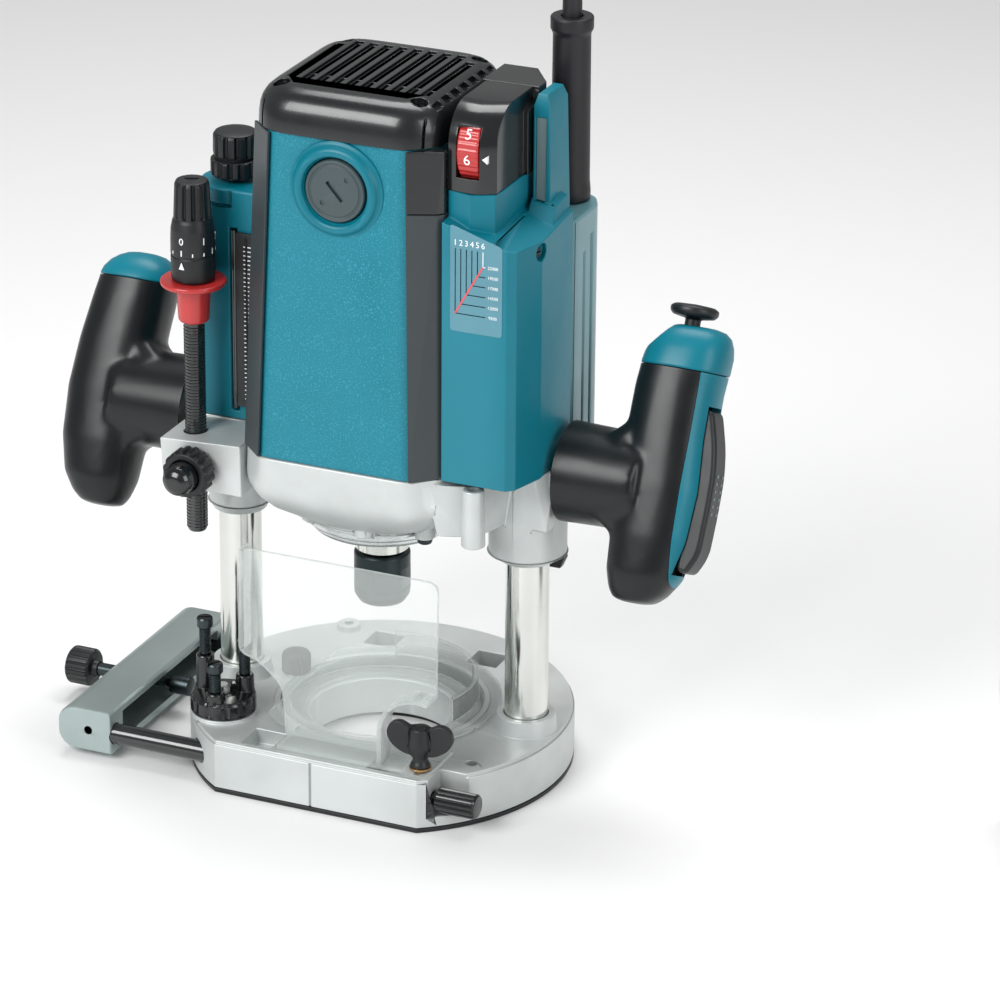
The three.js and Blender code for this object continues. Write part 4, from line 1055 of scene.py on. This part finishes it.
def add_strips():
    """Both strips; the cover's corner comes down over the right strip's top."""
    carried("corner_strip_left", STRIP_GREY, "motor_unit", 0.35)
    split = 271
    low = cut(node_mesh("corner_strip_right"), box((0, 100), (-100, 100), (split, 400)))
    high = cut(node_mesh("corner_strip_right"), box((0, 100), (-100, 100), (0, split + 0.4)))
    piece("strip_right_low", low, STRIP_GREY, "motor_unit", "corner_strip_right", edge=0.35)
    piece("strip_right_high", high, COVER_BLACK, "motor_unit", edge=0.5)


def add_cover():
    levels = (
        (298.3, 1.5), (303, 1.5), (307, 1.1), (310.2, 0.1), (312.8, -1.5), (314.8, -3.8), (316, -6.6),
        (316.5, -9.5)
    )
    crown = skin([case_ring(z, offset, 22) for z, offset in levels])
    hollow = hull(case_ring(HOUSING_TOP - 1, -2.5) + case_ring(308, -3.5) + case_ring(312, -10))
    cover = join(cut(crown, hollow), upright(0, 0, (291, 315), 17))
    openings = [upright(0, 0, (280, 303), 14.3)]
    pitch = 6.8
    for i in range(10):
        x = (i - 4.5) * pitch
        end = 24 if i in (0, 9) else 31
        openings.append(box((x - 2, x + 2), (-end, end), (314.9, 330)))
        for y in (-21.3, 0, 21.3):
            reach = 8 if y == 0 or end == 31 else 2.5
            openings.append(
                box((x - 1.6, x + 1.6), (y * end / 31 - reach, y * end / 31 + reach), (308, 330))
            )
    for i in range(7):
        y = -27 + i * 9
        openings.append(box((36.6, 39.6), (y - 3, y + 3), (312.5, 330)))
    wells = [(x, y) for x in (-31.5, 31.5) for y in (-31, 31)]
    for x, y in wells:
        openings.append(upright(x, y, (312, 330), 3.6, sides=32))
    for x in (-37.2, 36.4):
        openings.append(box((x, x + 0.8), (-60, -36), (290, 312)))
    cover = cut(cover, *openings)
    piece("vented_cover", cover, COVER_BLACK, "motor_unit", "top_cover", edge=0.35, sharp=35)
    for i, (x, y) in enumerate(wells):
        head = cut(turned([(0, 310), (3, 310), (3, 313.4), (2.4, 313.9), (0, 314)], 32, 0.2),
                   box((-3, 3), (-0.4, 0.4), (313.2, 316)), box((-0.4, 0.4), (-3, 3), (313.2, 316)))
        piece(f"cover_screw_{i}", moved(head, (x, y, 0), (0, 0, 25 * i)), DARK_STEEL, "motor_unit")
    # A dark sheet under the vent slots: painted shade for the shaded inside of the cover.
    inner = [case_ring(z, -12) for z in (306, 307)]
    piece("cover_vent_shade", cut(skin(inner), upright(0, 0, (300, 320), 17.5)), PAINTED_VENT_SHADE, "motor_unit")


def add_tower():
    tower = cut(
        join(
            upright(-COLUMN_X, 0, (HOUSING_BOTTOM, 252), 14.6),
            upright(-COLUMN_X, 0, (251, TOWER_TOP), 15.6),
            box((-64, -40), (-15.6, 15.6), (HOUSING_BOTTOM, TOWER_TOP)),
            box((-COLUMN_X - 13, -62), (-15.6, -2), (HOUSING_BOTTOM, 250)),
        ),
        case_solid((HOUSING_BOTTOM - 5, HOUSING_TOP), GAP),
        upright(-COLUMN_X, 0, (140, 240.5), 11.2),
        upright(-COLUMN_X, 0, (230, TOWER_TOP + 5), 4.2),
        box((-64.6, -61.2), (-30, -12.4), (157, 241)),
    )
    piece("tower_shell", tower, TEAL, "motor_unit", "left_tower", edge=1.0)
    rod = turned([(0, 158), (1.4, 158), (1.4, 240), (0, 240)], 24)
    piece("scale_guide_rod", moved(rod, (-62.9, -14.4, 0)), BLACK_ROD, "motor_unit")

    plate = cut(
        box((-61, -49.5), (-17.5, -15.9), (160, 240)), box((-56.4, -55.8), (-20, -17.2), (162, 238))
    )
    piece("scale_strip", plate, MATT_BLACK, "motor_unit", "scale_plate", edge=0.3)
    ticks = []
    for i in range(36):
        reach = 3.6 if i % 5 == 0 else 1.8
        height = 164 + i * 2
        ticks.append(box((-55.2, -55.2 + reach), (-17.62, -17.45), (height - 0.22, height + 0.22)))
        ticks.append(box((-57.2, -57.2 + 0.9), (-17.62, -17.45), (height - 0.2, height + 0.2)))
    piece("scale_ticks", together(*ticks), WHITE_INK, "motor_unit")
    for i in range(8):
        lettering(f"scale_digit_{i}", str(i), 5, (-51.6, -17.52, 167 + i * 10), "motor_unit")


def add_limit_nut():
    lower = turned(
        [(3.9, 260), (10.2, 260), (11, 261), (11, 267), (10.2, 267.8), (3.9, 267.8), (3.9, 260)], 144, 0.3,
        (14, 1.3, 10.6, (260.4, 267.4))
    )
    upper = turned(
        [
            (0, 277), (3.9, 277), (3.9, 267.4), (8.9, 267.4), (9.1, 268.8), (9.8, 270), (9.7, 278),
            (8.8, 279.4), (5, 280), (0, 280)
        ],
        144, 0.4, (12, 1.4, 9.3, (269.2, 278.8))
    )
    piece("limit_nut_knob", moved(together(lower, upper), (-COLUMN_X, 0, 0)), MATT_BLACK, "limit_nut",
          "height_limit_nut")


def add_control_housing():
    room = case_solid((HOUSING_BOTTOM - 5, HOUSING_TOP), GAP)
    plan = [(46.6, -42), (76, -42), (79.5, -39), (84, -23), (84, 9.7), (46.6, 9.7)]
    above = hull([
        (30, -60, 272), (95, -60, 253), (30, -34, 281), (95, -34, 262), (30, 30, 281), (95, 30, 262),
        (30, -60, 330), (95, -60, 330), (30, 30, 330), (95, 30, 330)
    ])
    slab = cut(prism(plan, (HOUSING_BOTTOM, 270)), above)
    neck = prism([(46.6, -35.5), (57.5, -38.3), (67, -33.5), (68, -28), (68, 9.7), (46.6, 9.7)], (255, 281))
    neck = cut(neck, hull([(44, -60, 272), (70, -60, 272), (44, -60, 250), (70, -60, 250), (44, -31, 250),
                           (70, -31, 250), (44, -39, 266), (70, -39, 266)]))
    levels = ((70.6, 79, -3, 19, 250), (70.6, 78, -2.5, 17, 311), (72, 76.5, -1, 15, 316))
    post = hull([
        (x, y, z) for left, right, front, rear, z in levels for x in (left, right) for y in (front, rear)
    ])
    post = cut(post, box((60, 90), (9.6, 40), (200, 258)), box((71.8, 76.4), (-6, -1.2), (266, 306)))
    shoulder = hull([(70, -18, 252), (83.6, -18, 250), (70, 9.6, 250), (83.6, 9.6, 250), (70.5, -4, 270),
                     (81.5, -4, 268), (70.5, 9.6, 272), (81.5, 9.6, 270)])
    shell = cut(
        join(slab, neck, post, shoulder),
        room,
        box((49.5, 76), (-38, 6.5), (HOUSING_BOTTOM - 5, 250)),
        box((70, 80.5), (-22, 6.5), (HOUSING_BOTTOM - 5, 246)),
        upright(COLUMN_X, 0, (HOUSING_BOTTOM - 5, 240.5), 11),
        moved(upright(0, 0, (0, 30), 3.9), (80.6, -22, 255), (90, 0, 74)),
        box((69.9, 70.4), (-60, -10), (262, 300)),
    )
    piece("control_shell", shell, TEAL, "motor_unit", "control_housing", edge=0.5, sharp=25)
    screw = cut(
        turned([(0, 0), (3.1, 0), (3.1, 2.4), (2.6, 3), (0, 3)], 32, 0.2),
        box((-4, 4), (-0.4, 0.4), (2.3, 4))
    )
    piece("control_screw", moved(screw, (79, -23, 255), (90, 0, 74)), DARK_STEEL, "motor_unit")
    panel = box((71.9, 76.3), (-1.9, -1.2), (266.2, 305.8))
    piece("post_panel", panel, PANEL_GREY, "motor_unit", edge=0.2)

    outline = [(46.6, 10), (84, 10), (84.5, 14), (84.5, 36), (80, 45), (70, 48), (46.6, 48)]
    rear = cut(
        prism(rounded(outline, 3, 3, closed=True), (HOUSING_BOTTOM, 257.5)),
        room,
        box((49.5, 81), (13, 44.5), (HOUSING_BOTTOM - 5, 252)),
        upright(COLUMN_X, 0, (HOUSING_BOTTOM - 5, 251), 13.8),
        upright(*GUARD, (200, 300), 6.4),
        box((80, 90), (21, 22), (HOUSING_BOTTOM - 5, 240)),
        box((80, 90), (29, 30.2), (HOUSING_BOTTOM - 5, 246)),
    )
    # The rear housing takes the lighter teal copy: painted light, its rim-lit brightness in the colour.
    piece("rear_shell", rear, TEAL_PAINTED_LIGHT, "motor_unit", "rear_housing", edge=1.2, sharp=25)


def add_speed_label():
    front = -42.0
    outline = rounded([(50.6, 222), (74.2, 222), (74.2, 261.5), (50.6, 269)], 1.6, 4, closed=True)
    plate = skin([[(x, y, z) for x, z in outline] for y in (front - 0.25, front + 0.1)])
    piece("speed_label", plate, LABEL_BLUE, "motor_unit", edge=0.1)
    ink = front - 0.35
    lines = []
    reds = []
    for i in range(6):
        x = 53 + i * 2.5
        bottom = 230 + i * 4.4
        lines.append(box((x - 0.16, x + 0.16), (ink, ink + 0.2), (bottom, 258.6)))
        lines.append(box((x, 66.6), (ink, ink + 0.2), (bottom - 0.16, bottom + 0.16)))
        speed = 9500 + 2500 * i
        lettering(f"label_speed_{speed}", str(speed), 1.9, (70, ink + 0.1, bottom), "motor_unit")
        lettering(f"label_digit_{i + 1}", str(i + 1), 3.6, (x, ink + 0.1, 261.2), "motor_unit")
        if i:
            low, high = (x - 2.5, bottom - 4.4), (x, bottom)
            reds.append(
                skin([
                    [
                        (low[0] - 0.4, y, low[1]), (low[0] + 0.4, y, low[1]), (high[0] + 0.4, y, high[1]),
                        (high[0] - 0.4, y, high[1])
                    ]
                    for y in (ink - 0.05, ink + 0.2)
                ])
            )
        piece("label_lines", together(*lines), WHITE_INK, "motor_unit")
    piece("label_red_line", together(*reds), RED_INK, "motor_unit")


def add_dial():
    arch = [(0, 281.3), (0, 299)]
    for i in range(1, 19):
        angle = math.radians(90 * i / 18)
        arch.append((17 - 17 * math.cos(angle), 300 + 17 * math.sin(angle)))
    rings = []
    for x, front in ((46.6, -35.8), (50, -36.5), (57.5, -37.4), (61.5, -36.6), (67.5, -33)):
        rings.append([(x, front + y, z) for y, z in arch] + [(x, 10, 317), (x, 10, 281.3)])
    block = hull([
        (44.5, 4, 299), (70.2, 4, 299), (70.2, 12, 299), (60, 27, 299), (44.5, 27, 299), (44.5, 4, 317),
        (70.2, 4, 317), (70.2, 12, 317), (60, 27, 317), (44.5, 27, 317)
    ])
    cheek = hull([(64, -6, 281.3), (69.8, -6, 281.3), (69.8, 9.6, 281.3), (64, 9.6, 281.3), (64, -6, 309),
                  (69.6, -6, 309), (69.8, 9.6, 312), (64, 9.6, 312)])
    body = cut(
        join(skin(rings), block, cheek),
        barrel((50.6, *DIAL), (61, *DIAL), 17),
        box((50.6, 61), (-45, -22), (287.5, 309.5)),
        barrel((48.2, *DIAL), (63.4, *DIAL), 3.4),
        case_solid((270, HOUSING_TOP), GAP + 0.4),
        skin([case_ring(z, 1.9) for z in (HOUSING_TOP - 1, 340)]),
        box((40, 80), (3.4, 4.2), (315.4, 330)),
    )
    piece("dial_cowl", body, GLOSS_BLACK, "motor_unit", "dial_housing", edge=0.25, sharp=28)
    mark = hull([(x, y, z) for x, z in ((62.2, 296.6), (64.6, 298.3), (64.6, 294.9)) for y in (-36.5, -34)])
    piece("dial_mark", mark, WHITE_INK, "motor_unit")

    rim = [(0, -4.8), (15.8, -4.8), (16.5, -4.2), (16.5, 4.2), (15.8, 4.8), (0, 4.8)]
    wheel = moved(turned(rim, 216, 0.2, (36, 0.35, 16, (-4.6, 4.6))), (55.8, *DIAL), (0, 90, 0))
    axle = barrel((48.6, *DIAL), (63, *DIAL), 3, sides=32)
    piece("dial_wheel", join(wheel, axle), RED, "dial", "speed_dial")
    for i in range(6):
        angle = math.radians(188 + (5 - i) * -38)
        lean = Matrix.Rotation(angle - math.radians(180), 4, "X")
        facing = lean @ Matrix.Rotation(math.radians(90), 4, "X")
        place = (55.8, DIAL[0] + 16.45 * math.cos(angle), DIAL[1] + 16.45 * math.sin(angle))
        lettering(f"dial_digit_{i + 1}", str(i + 1), 6.5, place, "dial", facing, 0.3)


def add_guard():
    profile = [
        (4.6, 250), (6, 250), (6, 257.9), (8.8, 257.9), (8.8, 262), (8.4, 266), (8.1, 300), (8.1, 331)
    ]
    profile += [(8.6, 332.4), (9.2, 333.4), (9.2, 338.4), (8.6, 339), (4.6, 339), (4.6, 250)]
    sleeve = moved(turned(profile, 72, 0.6), (*GUARD, 0))
    piece("cord_sleeve", sleeve, RUBBER, "motor_unit", "cord_guard", edge=0.3)


def add_motor():
    stator = cut(turned([(0, 192), (37, 192), (37, 258), (0, 258)]), upright(0, 0, (180, 270), 26))
    piece("stator_stack", stator, IRON, "motor_unit", "stator", edge=0.3)
    for name, low, high, inside, outside in (("upper", 292, 302, 5.3, 14), ("lower", 119, 132, 9.3, 18)):
        race = turned(
            [(inside, low), (outside, low), (outside, high), (inside, high), (inside, low)], 64, 0.5
        )
        piece(name + "_race", race, STEEL, "motor_unit", name + "_bearing")
    shaft = turned(
        [
            (6, 97.3), (10.5, 97.3), (11.8, 98.5), (11.8, 113), (9, 115), (9, 158), (14, 158), (14, 166),
            (9, 166), (9, 194), (25, 196), (25, 254), (12, 258), (12, 268), (14, 268), (14, 287), (8, 288),
            (5, 290), (5, 301), (0, 301), (0, 114), (6, 114), (6, 97.3)
        ],
        64
    )
    piece("armature_look", shaft, STEEL, "spindle", "armature")
    carried("cooling_fan", MATT_BLACK, "spindle", 0.2)
    nut = turned(
        [(6, 73.4), (10.2, 73.4), (12.2, 76.6), (12.4, 78), (12.4, 96), (11.6, 97), (6, 97), (6, 73.4)], 72,
        0.4
    )
    flats = [moved(box((11.3, 20), (-20, 20), (80, 90)), turn=(0, 0, 60 * i)) for i in range(6)]
    piece("collet_nut_look", cut(nut, *flats), DARK_STEEL, "spindle", "collet_nut", edge=0.25)


# Depth pole and its clamp


def add_pole():
    rod = join(
        turned([(0, 105), (3.8, 105), (4.3, 106), (4.3, 219.6), (3, 219.6), (3, 256), (0, 256)], 48),
        threaded(4.7, 106.2, 202, 1.5, 0.45),
    )
    rod = cut(rod, box((-6, 6), (-6, -4.35), (104, 150)))
    piece("pole_rod", moved(rod, (*POLE, 0)), BLACK_ROD, "depth_pole_unit", "depth_pole")
    pointer = turned(
        [
            (5, 202.5), (6, 202.5), (6.7, 203.4), (7.5, 217.6), (8.2, 218.6), (13.9, 219.3), (14.3, 220),
            (14.3, 221), (13.9, 221.5), (5, 221.5), (5, 202.5)
        ],
        72, 0.3
    )
    piece("pole_pointer", moved(pointer, (*POLE, 0)), RED, "depth_pole_unit", "depth_pointer")
    sleeve = cut(
        turned(
            [
                (0, 222), (9.3, 222), (9.5, 223), (9.6, 232.7), (9.2, 233), (9.2, 233.5), (9.6, 233.8),
                (9.6, 240.5), (9.4, 245), (8.7, 248.4), (8.1, 249.8), (8.1, 251), (7.5, 264.6),
                (6.8, 266.3), (0, 266.5)
            ],
            144, 0.3, (12, 1.3, 7.2, (250.6, 265.6))
        ),
        upright(0, 0, (210, 257), 3.3),
        skin([
            [(4.2 * math.cos(math.radians(a)), 4.2 * math.sin(math.radians(a)), z) for a in (-65, 55, 175)]
            for z in (265.9, 270)
        ])
    )
    piece("pole_knob_look", moved(sleeve, (*POLE, 0)), MATT_BLACK, "pole_knob", "depth_pole_knob")
    marks = []
    for i in range(12):
        height = 2.6 if i % 3 == 0 else 1.4
        tick = box((-0.25, 0.25), (-9.75, -9.3), (234.6, 234.6 + height))
        marks.append(moved(tick, turn=(0, 0, 30 * i - 4)))
    arrow = hull([(x, y, z) for x, z in ((0, 231.8), (-1.3, 228.6), (1.3, 228.6)) for y in (-9.75, -9.2)])
    marks.append(moved(arrow, turn=(0, 0, -4)))
    piece("pole_knob_ticks", moved(together(*marks), (*POLE, 0)), WHITE_INK, "pole_knob")
    for i, angle in enumerate((-4, 56, 116, 176, 236, 296)):
        around = Matrix.Translation((*POLE, 0)) @ Matrix.Rotation(math.radians(angle), 4, "Z")
        facing = around @ Matrix.Translation((0, -9.5, 241)) @ Matrix.Rotation(math.radians(90), 4, "X")
        lettering(f"pole_digit_{i}", str(i), 4.4, (0, 0, 0), "pole_knob", facing, 0.4)


def add_clamp():
    facing = (90, 0, 0)
    nut = turned(
        [(3.3, 0), (9, 0), (10.8, 1.5), (10.8, 9), (9.6, 10.6), (7.4, 10.6), (7.4, 2), (3.3, 2), (3.3, 0)],
        144, 0.3, (16, 1.3, 10, (1, 9.4))
    )
    piece("clamp_nut_look", moved(nut, CLAMP, facing), MATT_BLACK, "pole_clamp", "clamp_nut")
    button = turned(
        [(0, -4), (3, -4), (3, 6.5), (7, 6.5), (7, 15.4), (6.5, 17.6), (5.2, 19.4), (3.2, 20.5), (0, 21)],
        64, 0.5
    )
    piece(
        "feed_button_look", moved(button, CLAMP, facing), GLOSS_BLACK, "feed_button", "fast_feed_button",
    )


# Grips: drawn upright about the point where the neck meets the grip, then leaned back


def oval(x, z, wide, deep, power=2.4, sides=40):
    """A ring a little squarer than an ellipse."""
    ring = []
    for i in range(sides):
        angle = 2 * math.pi * i / sides
        c, s = math.cos(angle), math.sin(angle)
        reach = (abs(c) ** power + abs(s) ** power) ** (-1 / power)
        ring.append((x + wide * reach * c, deep * reach * s, z))
    return ring


def softened(mesh, voxel=1.3, rounds=10):
    """Melts joined solids into one moulded form."""
    host = bpy.data.objects.new("host", mesh)
    bpy.context.scene.collection.objects.link(host)
    remesh = host.modifiers.new("remesh", "REMESH")
    remesh.mode = "VOXEL"
    remesh.voxel_size = voxel
    smooth = host.modifiers.new("smooth", "SMOOTH")
    smooth.factor = 0.6
    smooth.iterations = rounds
    result = bpy.data.meshes.new_from_object(host.evaluated_get(bpy.context.evaluated_depsgraph_get()))
    bpy.data.objects.remove(host)
    return result


def leaned(mesh):
    mesh.transform(Matrix.Translation((0, 0, GRIP_Z)) @ Matrix.Rotation(-GRIP_LEAN, 4, "X"))
    return mesh


GRIP_STATIONS = ((-50.6, 127, 5, 6), (-49.6, 127, 9, 9.5), (-46, 128, 12.4, 12), (-38, 129.5, 16.2, 15),
                 (-22, 131, 18.6, 16.8), (0, 131.5, 19.4, 17.4), (22, 130.5, 18.8, 17.4))
LEFT_TOP = ((42, 128.4, 18, 17), (50, 127.6, 17.4, 16.4))
RIGHT_TOP = ((42, 130.6, 18.6, 17.2), (50, 131.4, 18.6, 17))
LEFT_CAP = (
    (50.3, 127.6, 17, 16), (50.8, 127.6, 17.4, 16.4), (54, 127.3, 16.6, 15.6), (57.4, 126.9, 14.4, 13.6),
    (60, 126.5, 11.4, 10.8), (61.8, 126.2, 8, 7.6), (62.5, 126, 4, 4)
)
RIGHT_CAP = (
    (50.3, 131.4, 18.2, 16.6), (50.8, 131.5, 18.6, 17), (58, 132.4, 18.2, 16.2), (62.5, 133.2, 16.8, 14.8),
    (66, 134, 14.6, 12.6), (68.2, 134.4, 11.6, 10.2), (69, 134.5, 8, 7)
)


def grip_form(side, stations, power=2.4):
    rings = [oval(side * x, z, wide, deep, power) for z, x, wide, deep in stations]
    start = (side * stations[0][1], 0, stations[0][0] - 0.2)
    end = (side * stations[-1][1], 0, stations[-1][0] + 0.1)
    return skin([[start], *rings, [end]])


def grip_body(side, top):
    """The grip with its neck flowing into it, still one block through the trigger's room."""
    height = 50
    tall = GRIP_STATIONS + top + ((height + 8, top[-1][1], top[-1][2], top[-1][3]),)
    neck = barrel((side * 84, 0, 0), (side * 124, 0, 0), 22, 20.8)
    flare = hull(oval(side * 106, -16, 3, 13) + oval(side * 106, 16, 3, 13) + oval(side * 122, -27, 3, 11)
                 + oval(side * 122, 30, 3, 12) + oval(side * 106, 0, 3, 20))
    body = softened(join(grip_form(side, tall), neck, flare))
    bore = barrel((side * 70, 0, 0), (side * 100, 0, 0), 15.4)
    collar = box(sorted((side * 70, side * 88)), (-60, 60), (-60, 60))
    return cut(body, bore, collar, box((-300, 300), (-60, 60), (height - 0.1, 90)))


def add_grips():
    for side, name, top, cap_stations in (
        (-1, "left", LEFT_TOP, LEFT_CAP), (1, "right", RIGHT_TOP, RIGHT_CAP)
    ):
        body = grip_body(side, top)
        if side > 0:
            room = box((141, 160), (-8.4, 8.4), (-36, 36.4))
            inner = cut(body, box((143.2, 200), (-60, 60), (-60, 90)), room)
            outer = cut(body, box((60, 143.4), (-60, 60), (-60, 90)), room)
            piece("right_grip_rubber", leaned(inner), GRIP_BLACK, "motor_unit", "right_grip", sharp=50,
                  merge=False)
            piece("right_grip_frame", leaned(outer), TEAL, "motor_unit", sharp=50, merge=False)
        else:
            piece("left_grip_rubber", leaned(body), GRIP_BLACK, "motor_unit", "left_grip", sharp=50,
                  merge=False)
        cap = grip_form(side, cap_stations, 2.5)
        if side > 0:
            slope = hull(
                [(x, y, z) for x, z in ((100, 50.5), (100, 90), (134, 90), (128, 71)) for y in (-40, 40)]
                + [(x, y, z) for x, z in ((112, 53), (121, 62)) for y in (-40, 40)]
            )
            cap = cut(cap, slope, upright(131, 0, (53, 80), 4.2))
        piece(name + "_cap", leaned(cap), TEAL, "motor_unit", name + "_grip_cap", edge=0.6, sharp=35,
              merge=False)


def add_trigger():
    outline = rounded(
        [
            (145, -34), (150, -35), (154.6, -26), (155.2, -8), (155.2, 8), (153.6, 20), (149.5, 34.6),
            (145, 35.6)
        ],
        5, 4, closed=True
    )
    body = skin([[(x, y, z) for x, z in outline] for y in (-7.6, 7.6)])
    piece("trigger_look", leaned(body), MATT_BLACK, "trigger", "switch_trigger", edge=2.2, sharp=40,
          merge=False)
    dots = []
    for i in range(6):
        for y in (-3, 3):
            dots.append(
                moved(
                    turned([(0, 0), (0.8, 0), (0.6, 0.35), (0, 0.4)], 16), (155.1, y, -8 + 3.2 * i),
                    (0, 90, 0)
                )
            )
    piece("trigger_dots", leaned(together(*dots)), PANEL_GREY, "trigger")
    button = turned(
        [(0, 60.5), (3.4, 60.5), (3.4, 72), (9, 73), (10.4, 74.6), (10.4, 76.6), (8.6, 77.8), (0, 78.4)],
        64, 0.6
    )
    piece("lock_off_look", leaned(moved(button, (131, 0, 0))), MATT_BLACK, "lock_off", "lock_off_button")


def add_locks():
    pin = turned([(0, 0), (3.3, 0), (3.3, 20.8), (6.5, 20.8), (6.5, 26), (5.5, 27.2), (0, 27.2)], 64, 0.4)
    piece(
        "shaft_lock_look", moved(pin, (0, 32.5, 130), (-90, 0, 0)), MATT_BLACK, "shaft_lock",
        "shaft_lock_button"
    )
    blade = [(5, 0, 12.5, 18), (5.5, 23, 14, 19), (3.5, 28, 14.5, 18.5)]
    lever = join(
        turned([(0, 0), (3, 0), (3, 12), (0, 12)]),
        turned([(0, 11.5), (8, 11.5), (8, 18), (6.5, 19.5), (0, 19.5)]),
        hull([
            (half * s, reach, z) for half, reach, low, high in blade for s in (-1, 1) for z in (low, high)
        ])
    )
    piece(
        "lock_lever_look", moved(lever, (COLUMN_X, 13.4, 117), (-90, 0, 0)), MATT_BLACK, "plunge_lock",
        "lock_lever", edge=0.8
    )


for add in (
    add_base, add_columns, add_limit_rod, add_deflector, add_wing_screw, add_rod_clamp, add_turret,
    add_guide, add_bracket, add_case, add_strips, add_cover, add_tower, add_limit_nut, add_control_housing,
    add_speed_label, add_dial, add_guard, add_motor, add_pole, add_clamp, add_grips, add_trigger, add_locks
):
    add()


# Studio


def add_stage():
    size = 4.0
    mesh = bpy.data.meshes.new("floor")
    mesh.from_pydata(
        [(-size, -size, 0), (size, -size, 0), (size, size, 0), (-size, size, 0)], [], [(0, 1, 2, 3)]
    )
    floor = bpy.data.objects.new("floor", mesh)
    bpy.context.scene.collection.objects.link(floor)
    material, tree, shader = new_material("floor")
    shader.inputs["Base Color"].default_value = (0.86, 0.86, 0.86, 1)
    shader.inputs["Roughness"].default_value = 0.6
    mesh.materials.append(material)

    world = bpy.data.worlds.new("studio")
    world.use_nodes = True
    world.node_tree.nodes["Background"].inputs["Color"].default_value = (1, 1, 1, 1)
    world.node_tree.nodes["Background"].inputs["Strength"].default_value = 0.32
    bpy.context.scene.world = world

    def softbox(name, place, aim, size, power):
        data = bpy.data.lights.new(name, "AREA")
        data.shape = "RECTANGLE"
        data.size, data.size_y = size
        data.energy = power
        lamp = bpy.data.objects.new(name, data)
        direction = Vector(aim) - Vector(place)
        turn = direction.to_track_quat("-Z", "Y").to_matrix().to_4x4()
        lamp.matrix_world = Matrix.Translation(place) @ turn
        bpy.context.scene.collection.objects.link(lamp)

    softbox("key", (-0.5, -1.3, 1.1), (0, 0, 0.15), (0.9, 0.8), 22)
    softbox("fill", (1.3, -0.5, 0.7), (0, 0, 0.15), (0.5, 0.9), 6)
    softbox("top", (0.0, 0.4, 1.5), (0, 0, 0.2), (1.2, 0.7), 16)
    bpy.context.scene.view_settings.view_transform = "Standard"


add_stage()
